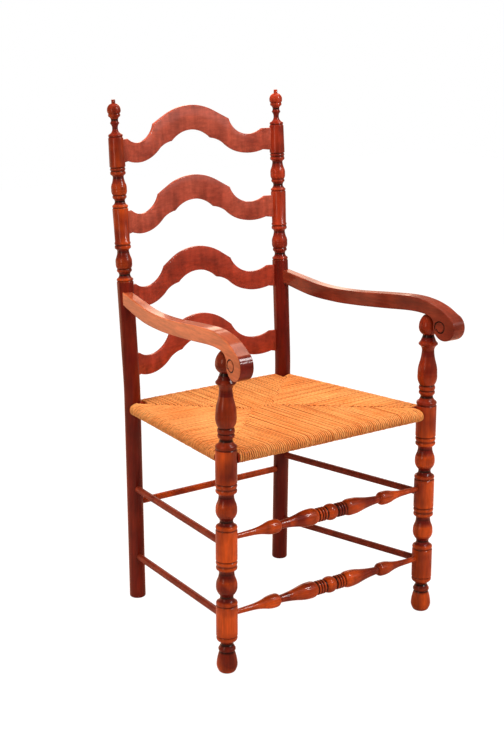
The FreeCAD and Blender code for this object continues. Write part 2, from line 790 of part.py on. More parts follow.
def oval_roll(start, end):
    """The rush that wraps one rail: an oval bar along the rail's axis."""
    direction = unit(start, end)
    across = direction.cross(Z_AXIS)
    across.normalize()
    upright = across.cross(direction)
    oval = Part.Ellipse(
        start + across * rush_half_width,
        start + upright * rush_half_thickness,
        start,
    )
    face = Part.Face(Part.Wire([oval.toShape()]))
    return face.extrude(end - start)


def make_seat(rails, posts):
    """The rush seat and the stuffing between its two layers."""
    corners = seat_corners(0)
    tips = weave_tips()
    half = rush_half_thickness - rush_web_inset
    dip = half - rush_dish
    rush = web(corners, tips, half, -half, dip, -dip)
    sides = list(zip(corners, corners[1:] + corners[:1]))
    radii = (front_post_radius, front_post_radius, leg_radius, leg_radius)
    for side, radius, next_radius in zip(sides, radii, radii[1:] + radii[:1]):
        direction = unit(*side)
        start = side[0] + direction * radius
        end = side[1] - direction * next_radius
        rush = rush.fuse(oval_roll(start, end))
    inner_corners = seat_corners(rail_width / 2 + stuffing_inset)
    layer = strand_layer
    stuffing = web(inner_corners, tips, half - layer, layer - half, dip - layer, layer - dip)
    loose = stuffing_clearance
    hollow_corners = seat_corners(rail_width / 2 + stuffing_inset - loose)
    hollow = web(
        hollow_corners, tips, half - layer + loose, layer - half - loose,
        dip - layer + loose, layer - dip - loose,
    )
    rush = rush.cut(hollow)
    for start, end in sides:
        rush = rush.cut(rail_channel(start, end))
    for post in posts:
        rush = rush.cut(post)
        stuffing = stuffing.cut(post)
    for rail in rails:
        stuffing = stuffing.cut(rail)
    return solid_of(rush), solid_of(stuffing)


def rail_channel(start, end):
    """The space that a rail takes inside the rush."""
    direction = unit(start, end)
    across = direction.cross(Z_AXIS)
    across.normalize()
    upright = across.cross(direction)
    wide = rail_width + stuffing_clearance * 2
    thick = rail_thickness + stuffing_clearance * 2
    bar = Part.makeBox(wide, thick, (end - start).Length, V(-wide / 2, -thick / 2, 0))
    turn = FreeCAD.Rotation(across, upright * -1, direction, "ZXY")
    bar.Placement = FreeCAD.Placement(start, turn)
    return bar


def drill(post, holes):
    """A post with its holes cut."""
    for hole in holes:
        post = post.cut(hole)
    return solid_of(post)


def build():
    """Every piece of the chair by name, before they are centred."""
    pieces = {}
    arm, arm_x, arm_post = make_arm()
    rail_front = front_axis(front_rail_height)
    rail_back = back_axis(back_rail_height)

    front_holes = []
    back_holes = []
    for height in front_stretcher_heights:
        front_holes.append(socket(
            front_axis(height), left, front_stretcher_end_radius, front_tenon_stop, front_post_radius))
    for line in side_stretcher_lines:
        direction = unit(*line)
        front_holes.append(socket(
            line[0], direction, stretcher_radius, front_tenon_stop, front_post_radius))
        back_holes.append(socket(
            line[1], direction * -1, stretcher_radius, back_tenon_stop, leg_radius))
    back_holes.append(socket(
        back_axis(back_stretcher_height), left, back_stretcher_radius, back_tenon_stop, leg_radius))
    front_holes.append(socket(
        rail_front, left, rail_tenon_radius, front_tenon_stop, front_post_radius))
    back_holes.append(socket(
        rail_back, left, rail_tenon_radius, back_tenon_stop, leg_radius))
    side_direction = unit(*side_rail_line)
    front_holes.append(socket(
        rail_front, side_direction, rail_tenon_radius, front_tenon_stop, front_post_radius))
    back_holes.append(socket(
        rail_back, side_direction * -1, rail_tenon_radius, back_tenon_stop, leg_radius))
    arm_socket_axis = V(arm_x, arm_post.y, arm_end_height)
    back_holes.append(socket(
        arm_socket_axis, V(0, -1, 0), arm_rear_tenon_radius, arm_rear_tenon_stop, leg_radius))
    for ear_height in slat_ear_heights:
        back_holes.append(slat_mortise(ear_height))

    front_blank = front_post_blank()
    front_blank.translate(front_axis(0))
    arm_hole = rod(
        front_axis(seat_block_top),
        front_axis(support_top + arm_tenon_length + tenon_end_gap),
        arm_tenon_radius + joint_clearance,
    )
    arm = solid_of(arm.cut(arm_hole))
    front_post = drill(front_blank, front_holes)
    front_post = solid_of(front_post.cut(arm))
    back_post = drill(back_post_blank(), back_holes)

    pieces["front_post_right"] = front_post
    pieces["back_post_right"] = back_post
    pieces["arm_right"] = arm
    for name, line in zip(("lower", "upper"), side_stretcher_lines):
        pieces[name + "_side_stretcher_right"] = tenoned_rod(line, stretcher_radius)
    pieces["side_seat_rail_right"] = make_rail(
        *side_rail_line, front_post_radius, leg_radius, front_tenon_stop, back_tenon_stop)
    for name in list(pieces):
        pieces[name.replace("right", "left")] = mirrored(pieces[name])

    pieces["front_seat_rail"] = make_cross_rail(rail_front, front_post_radius, front_tenon_stop)
    pieces["back_seat_rail"] = make_cross_rail(rail_back, leg_radius, back_tenon_stop)
    pieces["back_stretcher"] = make_back_stretcher()
    for name, height in zip(("lower", "upper"), front_stretcher_heights):
        pieces[name + "_front_stretcher"] = make_front_stretcher(height)
    slat_names = ("bottom", "lower_middle", "upper_middle", "top")
    for name, ear_height, shoulder in zip(slat_names, slat_ear_heights, slat_shoulder_halves):
        pieces[name + "_slat"] = make_slat(ear_height, shoulder)

    rails = [pieces[name] for name in pieces if "seat_rail" in name]
    loose = rush_post_clearance
    front_core = rod(front_axis(seat_block_base), front_axis(seat_block_top), front_post_radius + loose)
    back_core = rod(
        back_axis(back_rail_height - leg_radius * 2),
        back_axis(back_rail_height + leg_radius * 2),
        leg_radius + loose,
    )
    posts = [front_core, mirrored(front_core), back_core, mirrored(back_core)]
    pieces["rush_seat"], pieces["seat_stuffing"] = make_seat(rails, posts)
    return pieces


def export(pieces):
    """Centre the chair's outline over the origin and write one file for each piece."""
    boxes = [shape.optimalBoundingBox(False, False) for shape in pieces.values()]
    middle = (min(box.YMin for box in boxes) + max(box.YMax for box in boxes)) / 2
    for name, shape in pieces.items():
        shape.translate(V(0, -middle, 0))
        shape.exportStep("parts/" + name + ".step")
        print(name, len(shape.Solids), round(shape.Volume / 1000, 1), "cm3")
    print("moved back by", round(middle, 2))


export(build())
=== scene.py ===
# %% [markdown]
# A ladderback armchair, dressed over its measured solids.
# The solids come in first. They say where every piece goes, so nothing here is fitted by eye.
# All work is in metres, and a size written in millimetres is multiplied by mm.

# %% Load the solids
import random
from math import acos, atan, atan2, cos, degrees, hypot, pi, radians, sin, sqrt, tan

import bmesh
import bpy
from mathutils import Matrix, Vector


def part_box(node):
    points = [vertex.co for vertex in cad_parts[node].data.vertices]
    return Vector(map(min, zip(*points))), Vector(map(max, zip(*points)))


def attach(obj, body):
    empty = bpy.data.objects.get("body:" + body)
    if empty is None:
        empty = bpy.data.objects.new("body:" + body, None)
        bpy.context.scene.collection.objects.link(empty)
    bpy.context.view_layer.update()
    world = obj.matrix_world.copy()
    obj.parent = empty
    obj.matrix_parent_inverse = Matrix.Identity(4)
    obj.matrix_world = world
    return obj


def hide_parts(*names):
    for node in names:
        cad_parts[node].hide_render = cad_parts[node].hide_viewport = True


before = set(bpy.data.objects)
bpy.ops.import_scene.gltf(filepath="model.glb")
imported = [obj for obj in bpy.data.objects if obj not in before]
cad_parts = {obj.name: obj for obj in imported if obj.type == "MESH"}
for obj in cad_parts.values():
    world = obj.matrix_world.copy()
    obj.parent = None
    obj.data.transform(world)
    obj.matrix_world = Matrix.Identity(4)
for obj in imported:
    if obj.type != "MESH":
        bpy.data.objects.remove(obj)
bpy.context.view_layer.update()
mm = 0.001
print("pieces in the frame:", len(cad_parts))

# %% [markdown]
# Every piece needs an object in the scene. Some are drawn as the lines of a curve first, and some
# need the mesh that a curve or a modifier makes. These helpers keep that in one place.

# %% Object helpers
def in_scene(name, data):
    """An object for some data, linked into the scene."""
    made = bpy.data.objects.new(name, data)
    bpy.context.scene.collection.objects.link(made)
    return made


def evaluated_mesh(made):
    """The mesh of an object once its modifiers or its curve's section are applied."""
    bpy.context.view_layer.update()
    graph = bpy.context.evaluated_depsgraph_get()
    return bpy.data.meshes.new_from_object(made.evaluated_get(graph))


def line_curve(name, dimensions="3D"):
    """Data for a curve that gets its lines one by one."""
    data = bpy.data.curves.new(name, "CURVE")
    data.dimensions = dimensions
    data.use_fill_caps = dimensions == "3D"
    return data


def add_line(data, points, size=1.0):
    """Add a line of straight steps to a curve."""
    line = data.splines.new("POLY")
    line.points.add(len(points) - 1)
    for point, spot in zip(line.points, points):
        point.co = (*spot, 1)
        point.radius = size
    return line


def aimed(made, place, direction):
    """Put a camera or a lamp in its place and point it along a direction."""
    made.location = place
    made.rotation_mode = "QUATERNION"
    made.rotation_quaternion = direction.to_track_quat("-Z", "Y")
    return made


print("object helpers ready")

# %% [markdown]
# The camera stands where the photograph was taken, to the left of the chair and above its arms.
# It is made first, so that every later step can be looked at from the same place.
# The lens is written for a 36 mm sensor along the picture's long side.

# %% Camera
front_low, front_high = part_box("front_post_right")
front_x = (front_low.x + front_high.x) / 2
front_y = (front_low.y + front_high.y) / 2
camera_place = Vector((-1.9282, front_y - 2.3478, 1.3882))
gaze = Vector((0.57248, 0.77725, -0.26104))
camera_data = bpy.data.cameras.new("camera")
camera_data.lens = 74.43
bpy.context.scene.camera = aimed(in_scene("camera", camera_data), camera_place, gaze)
print("front posts stand at x", round(front_x, 4), "y", round(front_y, 4))

# %% [markdown]
# A node tree is easier to read when each node is made on one line. The first helper makes a node,
# sets its plain sockets and joins the rest to other nodes' outputs. The others make the kinds of
# node that the materials use most, and hand back the output that matters. The last three start and
# finish materials and groups of nodes.

# %% Node helper
def node(tree, kind, settings=None, **sockets):
    """Add a node, set its properties, and fill its inputs with values or with other outputs.

    Along_the_grain is the input of that name with spaces, and _2 is the input with number 2.
    """
    made = tree.nodes.new("ShaderNode" + kind)
    for name, value in (settings or {}).items():
        setattr(made, name, value)
    for name, value in sockets.items():
        key = int(name[1:]) if name[0] == "_" and name[1:].isdigit() else name.replace("_", " ")
        if isinstance(value, bpy.types.NodeSocket):
            tree.links.new(value, made.inputs[key])
        else:
            made.inputs[key].default_value = value
    return made


def noise(tree, place, scale, detail, roughness=0.5, **more):
    """A noise value from 0 to 1."""
    made = node(tree, "TexNoise", Vector=place, Scale=scale, Detail=detail,
                Roughness=roughness, **more)
    return made.outputs["Fac"]


def ranged(tree, value, low, high, at_low=0.0, at_high=1.0):
    """A value moved from the range low to high onto another range, and held inside it."""
    made = node(tree, "MapRange", Value=value, From_Min=low, From_Max=high,
                To_Min=at_low, To_Max=at_high)
    return made.outputs["Result"]


def worked(tree, operation, *values, clamp=False):
    """The result of a Math node."""
    inputs = {f"_{index}": value for index, value in enumerate(values)}
    made = node(tree, "Math", {"operation": operation, "use_clamp": clamp}, **inputs)
    return made.outputs[0]


def mixed(tree, share, first, second, blend="MIX"):
    """A colour between two others, by a share from 0 to 1."""
    made = node(tree, "Mix", {"data_type": "RGBA", "blend_type": blend},
                _0=share, _6=first, _7=second)
    return made.outputs[2]


def scaled(tree, color, factor):
    """A colour made lighter or darker by a factor."""
    made = node(tree, "VectorMath", {"operation": "SCALE"}, _0=color, Scale=factor)
    return made.outputs[0]


def stored(tree, *labels):
    """The values that a piece stores under these names."""
    return [node(tree, "Attribute", {"attribute_name": label}).outputs["Fac"]
            for label in labels]


def stretched(tree, place, scale):
    """A place pulled long in the directions where the scale is small."""
    return node(tree, "Mapping", Vector=place, Scale=scale).outputs["Vector"]


def blank_material(name):
    """A material and its empty node tree."""
    material = bpy.data.materials.new(name)
    material.use_nodes = True
    material.node_tree.nodes.clear()
    return material, material.node_tree


def surfaced(tree, look, strength, distance, **more):
    """Finish a material: the colour and the fine bumps of a look, on one shader."""
    bump = node(tree, "Bump", Height=look["Height"], Strength=strength, Distance=distance)
    shader = node(tree, "BsdfPrincipled", Base_Color=look["Color"], Normal=bump.outputs["Normal"],
                  **more)
    node(tree, "OutputMaterial", Surface=shader.outputs["BSDF"])


def group(name, inputs, outputs):
    """An empty node group with named sockets. It returns the tree and both sets of sockets."""
    tree = bpy.data.node_groups.new(name, "ShaderNodeTree")
    for label, kind in inputs:
        tree.interface.new_socket(name=label, in_out="INPUT", socket_type=kind)
    for label, kind in outputs:
        tree.interface.new_socket(name=label, in_out="OUTPUT", socket_type=kind)
    return tree, tree.nodes.new("NodeGroupInput").outputs, tree.nodes.new("NodeGroupOutput").inputs


COLOR, FLOAT, VECTOR = "NodeSocketColor", "NodeSocketFloat", "NodeSocketVector"
print("node helpers ready")

# %% [markdown]
# The wood is a red-brown stain under gloss varnish. Up close it has long soft bands, fine pores
# and faint ripples across the grain, and its grooves are darker, partly from stain gathered there
# and partly from painted shade.
# All the pieces share one group for this. Each material only says which way its grain runs and
# which three colours its stain has.

# %% Stained grain group
grain, grain_in, grain_out = group(
    "stained_grain",
    [("Along the grain", VECTOR), ("Across the grain", VECTOR), ("Deep", COLOR), ("Warm", COLOR),
     ("Bright", COLOR), ("Burst", FLOAT), ("Recess", FLOAT)],
    [("Color", COLOR), ("Roughness", FLOAT), ("Height", FLOAT)],
)
bands = noise(grain, grain_in["Along the grain"], 14.0, 4.0, 0.55, Distortion=0.6)
pores = noise(grain, grain_in["Along the grain"], 150.0, 3.0, 0.7)
ripples = noise(grain, grain_in["Across the grain"], 60.0, 3.0, 0.6)
band_share = ranged(grain, bands, 0.1, 0.75)
stain = mixed(grain, band_share, grain_in["Deep"], grain_in["Warm"])
# The bright colour comes in by a share made of random tone patches and of painted light on the left
# arm.
brightened = mixed(grain, grain_in["Burst"], stain, grain_in["Bright"])
pore_shade = ranged(grain, pores, 0.36, 0.62, 0.72, 1.0)
ripple_shade = ranged(grain, ripples, 0.3, 0.7, 0.7, 1.25)
toned = scaled(grain, brightened, worked(grain, "MULTIPLY", pore_shade, ripple_shade))
# Painted shade in the grooves, partly stain gathered there: the colour falls to 8 percent at full
# depth.
groove_stain_and_shade = ranged(grain, grain_in["Recess"], 0.0, 1.0, 1.0, 0.08)
grooves_darkened = scaled(grain, toned, groove_stain_and_shade)
gloss = ranged(grain, bands, 0.3, 0.7, 0.38, 0.5)
for result, label in ((grooves_darkened, "Color"), (gloss, "Roughness"), (pores, "Height")):
    grain.links.new(result, grain_out[label])
print("grain group has", len(grain.nodes), "nodes")

# %% [markdown]
# A wood material stretches the grain along one direction of the piece with a Mapping node.
# Four values stored on a piece steer the colour. Fine grooves are darkened, partly by stain gathered
# there and partly by painted shade. Broad hollows keep the dark stain, partly thicker stain and
# partly painted shade. The back posts' plain legs, the turnings under the arms and the left arm get
# painted shade that keeps them dark, and the left arm's side faces and upward top edges get painted
# light. Elsewhere the bright colour shows in random patches.
# The gloss is a coat over the stain, so it comes from the lamps and not from the colour.

# %% Wood materials
def stained_wood(name, stretch, figure, deep, warm, bright, varnish=0.9):
    """A glossy stained wood. Its grain runs where stretch is smallest, its ripples where figure is."""
    material, tree = blank_material(name)
    place = node(tree, "TexCoord").outputs["Object"]
    recess, hollow, painted_shade, painted_light = stored(tree, "recess", "hollow", "painted_shade", "painted_light")
    # Broad hollows (partly stain, partly painted shade) and painted shade keep the bright colour out;
    # painted light on the left arm brings it in.
    thin = worked(tree, "SUBTRACT", 1.0, worked(tree, "MAXIMUM", hollow, painted_shade), clamp=True)
    uneven = ranged(tree, noise(tree, place, 14.0, 2.0), 0.35, 0.65, 0.1, 1.05)
    tone_and_painted_light = worked(tree, "MAXIMUM", worked(tree, "MULTIPLY", thin, uneven), painted_light)
    look = node(tree, "Group", {"node_tree": grain},
                Along_the_grain=stretched(tree, place, stretch),
                Across_the_grain=stretched(tree, place, figure),
                Deep=deep, Warm=warm, Bright=bright, Burst=tone_and_painted_light, Recess=recess).outputs
    surfaced(tree, look, 0.08, 0.0004, Roughness=look["Roughness"], Coat_Weight=varnish,
             Coat_Roughness=0.13, Coat_IOR=1.26, Specular_IOR_Level=0.05)
    return material


maroon = (0.080, 0.004, 0.002, 1.0)
red_brown = (0.17, 0.008, 0.003, 1.0)
orange_brown = (0.64, 0.074, 0.006, 1.0)
pink_brown = (0.46, 0.078, 0.040, 1.0)
brick_brown = (0.40, 0.044, 0.018, 1.0)
crimson_brown = (0.40, 0.034, 0.008, 1.0)
dull_brown = (0.20, 0.018, 0.006, 1.0)
rosy_brown = (0.26, 0.036, 0.014, 1.0)
amber_brown = (0.62, 0.140, 0.045, 1.0)
upright, flat, calm = (0.8, 0.8, 0.25), (1.0, 1.0, 0.2), (0.5, 0.06, 0.5)
along_x, along_y, along_z = (0.06, 1.0, 1.0), (1.0, 0.06, 1.0), (1.0, 1.0, 0.06)
along_slat = (0.3, 1.0, 1.0)
post_wood = stained_wood("post_wood", along_z, upright, maroon, red_brown, orange_brown)
# A darker copy for the right back post: painted shade, as that post gets less light.
shaded_right_post_wood = stained_wood("shaded_right_post_wood", along_z, upright, maroon, red_brown, crimson_brown)
rail_wood = stained_wood("rail_wood", along_x, upright, maroon, red_brown, orange_brown)
slat_wood = stained_wood("slat_wood", along_slat, flat, red_brown, pink_brown, pink_brown)
# A darker copy for the two lower slats: painted shade, as the light falls off towards them.
shaded_low_slat_wood = stained_wood("shaded_low_slat_wood", along_slat, flat, maroon, brick_brown, brick_brown)
arm_wood = stained_wood("arm_wood", along_y, calm, maroon, dull_brown, rosy_brown)
# The left arm's copy: its amber colour is painted light on the side faces and the top's edges.
painted_light_wood = stained_wood("painted_light_wood", along_y, calm, maroon, red_brown, amber_brown)
side_wood = stained_wood("side_wood", along_y, upright, red_brown, rosy_brown, rosy_brown, 0.3)
print("wood materials:", [m.name for m in bpy.data.materials if "wood" in m.name])

# %% [markdown]
# Whole shapes are shifted, swung, mirrored and welded, flat outlines are drawn out into solids, and
# hard edges are rounded. The bmesh operators for this are long to write, so each gets a short name.

# %% Shaping helpers
def shift(bm, way):
    """Move a whole shape."""
    bmesh.ops.translate(bm, verts=bm.verts, vec=way)


def swing(bm, matrix):
    """Turn a whole shape about the origin."""
    bmesh.ops.rotate(bm, verts=bm.verts, cent=(0, 0, 0), matrix=matrix)


def mirror(bm):
    """Mirror a whole shape from the right side to the left."""
    bmesh.ops.scale(bm, verts=bm.verts, vec=(-1, 1, 1))


def weld(bm, distance=0.01 * mm):
    """Join points that lie closer together than a distance."""
    bmesh.ops.remove_doubles(bm, verts=bm.verts, dist=distance)


def draw_out(bm, way):
    """Draw a flat outline out into a solid."""
    walls = bmesh.ops.extrude_face_region(bm, geom=bm.faces[:])["geom"]
    far = [g for g in walls if isinstance(g, bmesh.types.BMVert)]
    bmesh.ops.translate(bm, verts=far, vec=way)
    bmesh.ops.recalc_face_normals(bm, faces=bm.faces)


def round_edges(bm, rims, offset, segments, clamp=False):
    """Round hard edges with a bevel."""
    bmesh.ops.bevel(bm, geom=rims, offset=offset, segments=segments, profile=0.5, affect="EDGES",
                    material=-1, clamp_overlap=clamp)


print("shaping helpers ready")

# %% [markdown]
# Each finished piece is made the same way: the bmesh becomes a mesh, its shading turns smooth with
# the sharp creases kept, and the solids it stands for are hidden.

# %% Finishing a piece
crease_angle = radians(38)


def finish_piece(bm, name, material, *nodes, slot="stained_wood"):
    """Turn a bmesh into a piece of the chair that stands for some of the solids."""
    weld(bm)
    bmesh.ops.recalc_face_normals(bm, faces=bm.faces)
    mesh = bpy.data.meshes.new(name)
    bm.to_mesh(mesh)
    bm.free()
    mesh.polygons.foreach_set("use_smooth", [True] * len(mesh.polygons))
    mesh.set_sharp_from_angle(angle=crease_angle)
    mesh.materials.append(material)
    piece = in_scene(name, mesh)
    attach(piece, "root")
    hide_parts(*nodes)
    print(name, len(mesh.polygons), "faces")
    return piece


# %% [markdown]
# Turning is a profile spun round an axis, and that is how the posts and the front stretchers are
# made here too. A profile is a short list of stations, each a height, a radius and the bulge of
# the arc that reaches it. The helper walks the arcs in fine steps and spins the line in 64 steps,
# or in 48 for the thinner stretchers.

# %% Turning helpers
def arc_points(start, end, bulge, step=0.9):
    """Points of an arc from start to end, without start. The bulge is outwards, in the same units."""
    chord = end - start
    length = chord.length
    if abs(bulge) < 0.01:
        return [end]
    half = 2 * atan(2 * bulge / length)
    radius = length / (2 * sin(half))
    outward = Vector((chord.y, -chord.x)) / length
    count = max(3, round(length / step))
    points = []
    for k in range(1, count + 1):
        turn = -half + 2 * half * k / count
        along = length / 2 + radius * sin(turn)
        out = radius * (cos(turn) - cos(half))
        points.append(start + chord / length * along + outward * out)
    return points


def profile_line(stations):
    """The turned profile as (radius, height) points in millimetres, closed on the axis."""
    line = [Vector((0, stations[0][0])), Vector((stations[0][1], stations[0][0]))]
    for height, radius, bulge in stations[1:]:
        line += arc_points(line[-1], Vector((radius, height)), bulge)
    line.append(Vector((0, line[-1].y)))
    return line


def turned(stations, steps=64):
    """A turned bmesh along Z, in metres."""
    bm = bmesh.new()
    verts = [bm.verts.new((p.x * mm, 0, p.y * mm)) for p in profile_line(stations)]
    edges = [bm.edges.new(pair) for pair in zip(verts, verts[1:])]
    bmesh.ops.spin(bm, geom=verts + edges, cent=(0, 0, 0), axis=(0, 0, 1),
                   angle=2 * pi, steps=steps, use_merge=True)
    weld(bm)
    return bm


def mark_recess(bm, reach=7, full=2.2, plain_below=None, plain_above=None):
    """Store how deep each point lies: recess in a fine groove, hollow in a broad one, from 0 to 1.

    Points below plain_below or above plain_above get painted shade, which keeps them dark.
    Reach is in steps of a millimetre, and full is the depth in millimetres that counts as 1.
    """
    broad_reach, broad_full = 24, 5.0
    recess, hollow, painted_shade = [bm.verts.layers.float.new(n) for n in ("recess", "hollow", "painted_shade")]
    widest = {}
    for v in bm.verts:
        key = round(v.co.z / mm)
        widest[key] = max(widest.get(key, 0), hypot(v.co.x, v.co.y) / mm)

    def depth(v, span):
        key = round(v.co.z / mm)
        rims = [max(widest.get(key + way * k, 0) for k in range(1, span + 1)) for way in (-1, 1)]
        return min(rims) - hypot(v.co.x, v.co.y) / mm

    for v in bm.verts:
        v[recess] = min(max(depth(v, reach) / full, 0), 1)
        v[hollow] = min(max(depth(v, broad_reach) / broad_full, 0), 1)
        # Painted shade: the back posts' plain legs and the turnings under the arms are kept dark.
        if plain_below is not None and v.co.z < plain_below:
            v[painted_shade] = 0.92
        if plain_above is not None and v.co.z > plain_above:
            v[painted_shade] = 0.7
    return bm


print("a bead of 5 mm has", len(arc_points(Vector((10, 0)), Vector((10, 5)), 1.0)), "points")

# %% [markdown]
# The front posts have three plain lengths where the bars and the seat's rails come in, a vase
# between each pair, a ball foot, and a slimmer vase, ring and ball that carry the arm.
# The sizes are those of the solids, so the turned piece lies in the same place.

# %% Front post profile
front_radius = 21.7
bead = front_radius - 0.3
groove = front_radius - 1.6
foot_top = 80.0
lower_top = 141.5
vase_rise = 99.0
middle_base = lower_top + vase_rise
middle_top = middle_base + 60.5
seat_base = middle_top + vase_rise
seat_top = seat_base + 66.0
support_rise = 196.0


def foot_stations():
    """The ball foot and its waist."""
    return [
        (0, 13.0, 0), (5, 18.0, 0.9), (20, 21.1, 1.3), (45.5, 15.3, 0.9), (54, 15.7, 2.0),
        (59.4, 12.6, 0.3), (68.8, bead - 2, -1.6), (76.8, bead - 0.6, 1.1), (78.4, groove, 0),
        (foot_top, front_radius, 0),
    ]


def risen(base, rise, shares):
    """Stations whose heights are given as shares of a rise above a base."""
    return [(base + rise * share, radius, bulge) for share, radius, bulge in shares]


def vase_stations(base):
    """The vase between two plain lengths."""
    waist, neck = front_radius - 8.4, front_radius - 6.3
    return risen(base, vase_rise, [
        (0, front_radius, 0), (0.025, groove, -0.3), (0.035, bead - 0.6, 0),
        (0.1, bead - 1.0, 1.0), (0.21, waist, -2.2), (0.25, waist + 1.2, 0),
        (0.44, front_radius - 0.3, 2.3), (0.57, front_radius - 2.6, 0.7), (0.72, neck, -0.8),
        (0.78, neck + 2.2, -0.5), (0.795, bead - 0.9, 0), (0.86, bead - 0.9, 0.9),
        (0.88, groove, -0.2), (0.9, bead - 0.7, 0), (0.965, bead - 0.7, 0.9),
        (0.98, groove, -0.2), (1, front_radius, 0),
    ])


def support_stations():
    """The slim turning that carries the arm."""
    collar, neck = front_radius - 4.8, front_radius - 8.6
    waist, crest = front_radius - 10.0, front_radius - 11.0
    tenon = 8.0
    return risen(seat_top, support_rise, [
        (0, front_radius, 0), (0.01, groove, -0.3), (0.018, bead - 0.6, 0),
        (0.05, bead - 0.8, 0.9), (0.115, neck, -2.0), (0.13, neck + 2.4, 0),
        (0.165, collar - 0.4, 1.2), (0.173, collar - 1.6, 0), (0.18, collar - 0.4, 0),
        (0.222, collar - 0.4, 1.0), (0.23, collar - 1.6, 0), (0.355, front_radius - 0.9, 2.3),
        (0.48, collar + 0.7, 1.0), (0.617, neck, -0.9), (0.68, bead - 1.6, -1.8),
        (0.7, bead - 1.6, 0.6), (0.745, neck + 1.6, -0.8), (0.79, waist, -0.4),
        (0.88, front_radius - 0.9, 3.0), (1, crest, 2.6), (1, tenon, 0),
        (1 + 16 / support_rise, tenon, 0),
    ])


# %% Front posts
for side, sign in (("left", -1), ("right", 1)):
    stations = foot_stations() + vase_stations(lower_top) + vase_stations(middle_top)
    post = mark_recess(turned(stations + support_stations()), plain_above=seat_top * mm)
    shift(post, (sign * front_x, front_y, 0))
    finish_piece(post, "turned_front_post_" + side, post_wood, "front_post_" + side)

# %% [markdown]
# A back post is turned straight and then bent: it stands nearly upright to just above the seat,
# and leans back from there. The bend is an arc, and each ring of points is carried along it.

# %% Back post line
back_x = 0.200
back_y = front_y + 0.431
kick = 0.0025
bend_height = 0.485
bend_run = 0.026
rake = radians(3.8)
splay = radians(0.61)


def back_axis(height):
    """The right back post's axis at a height."""
    y = back_y - kick * min(height, bend_height) / bend_height
    y += max(height - bend_height, 0) * tan(rake)
    return Vector((back_x + height * tan(splay), y, height))


foot_point = back_axis(0)
bend_point = back_axis(bend_height)
into = (bend_point - foot_point).normalized()
out = (back_axis(1.0) - bend_point).normalized()
half_turn = into.angle(out) / 2
bend_radius = bend_run / tan(half_turn)
inward = (out - into * out.dot(into)).normalized()
bend_start = (bend_point - foot_point).length - bend_run
bend_length = bend_radius * half_turn * 2


def along_post(run):
    """The point and direction at a distance along the bent post from the floor."""
    if run < bend_start:
        return foot_point + into * run, into
    turn = min((run - bend_start) / bend_radius, half_turn * 2)
    point = foot_point + into * bend_start
    point = point + into * bend_radius * sin(turn)
    point = point + inward * bend_radius * (1 - cos(turn))
    heading = into * cos(turn) + inward * sin(turn)
    return point + heading * max(run - bend_start - bend_length, 0), heading


print("the post turns", round(degrees(half_turn * 2), 2), "degrees at its bend")

# %% Back post profile
leg_radius = 17.8
turned_radius = 16.8
plain_run = (back_axis(0.717) - bend_point).length + bend_start + bend_length - bend_run
back_vase_rise = 88.3


def back_vase_stations(base, radius):
    """The vase between two plain lengths of a back post."""
    waist, neck, cut = radius - 6.0, radius - 5.3, radius - 1.5
    return risen(base, back_vase_rise, [
        (0, radius, 0), (0.025, cut, -0.2), (0.035, radius - 0.6, 0), (0.085, radius - 1.0, 0.7),
        (0.175, waist, -1.2), (0.25, radius - 2.6, -0.9), (0.315, radius - 2.6, 0.8),
        (0.325, radius - 3.2, 0), (0.335, radius - 2.2, 0), (0.46, radius - 0.3, 0.9),
        (0.6, radius - 2.2, 0.9), (0.76, neck, -0.6), (0.8, neck + 2.4, -0.4),
        (0.81, radius - 1.4, 0), (0.885, radius - 1.4, 0.9), (0.897, cut - 0.6, 0),
        (0.91, radius - 1.4, 0), (0.965, radius - 1.4, 0.8), (0.975, cut - 0.4, 0),
        (1, radius, 0),
    ])


def finial_stations(base):
    """The finial: shoulder, slim neck with a ring, collar, ball and tip."""
    radius, rise = turned_radius - 1.0, 79.5
    return risen(base, rise, [
        (0, radius, 0), (0.028, radius - 1.5, -0.2), (0.04, radius - 0.9, 0),
        (0.1, radius - 1.8, 0.8), (0.252, 6.0, -2.4), (0.36, 8.3, -0.8), (0.42, 8.3, 1.3),
        (0.47, 7.6, -0.3), (0.56, 12.1, -1.2), (0.62, 12.5, 0.5), (0.635, 11.9, 0),
        (0.73, 14.3, 0.9), (1 - 8 / rise, 4.3, 3.0), (0.992, 4.1, 0), (1, 3.4, 0.2),
    ])


def back_post_stations():
    """A whole back post, with plain stations every few centimetres so that it can bend."""
    leg = [(0, leg_radius - 4.5, 0), (4.5, leg_radius, 1.32)]
    plain_top = plain_run / mm
    leg += [(height, leg_radius, 0) for height in range(20, int(plain_top), 9)]
    lower_vase = plain_top
    upper_vase = lower_vase + back_vase_rise + 67.7
    top = upper_vase + back_vase_rise + 59.2
    first = back_vase_stations(lower_vase, leg_radius)[:-1]
    second = back_vase_stations(upper_vase, turned_radius)
    return leg + first + second + finial_stations(top)


# %% Back posts
def bend_post(bm):
    """Carry every ring of a straight post onto the bent line."""
    for v in bm.verts:
        point, heading = along_post(v.co.z)
        across = (Vector((1, 0, 0)) - heading * heading.x).normalized()
        depth = heading.cross(across)
        v.co = point + across * v.co.x + depth * v.co.y
        v.co.z = max(v.co.z, 0)


for side in ("right", "left"):
    post = mark_recess(turned(back_post_stations()), reach=6, full=1.8, plain_below=plain_run)
    bend_post(post)
    if side == "left":
        mirror(post)
    wood = shaded_right_post_wood if side == "right" else post_wood
    finish_piece(post, "turned_back_post_" + side, wood, "back_post_" + side)

# %% [markdown]
# The two front stretchers are turned alike, the same both ways from a ball in the middle:
# a set of rings, a long vase, a neck and a knob that thins to the end in the post.

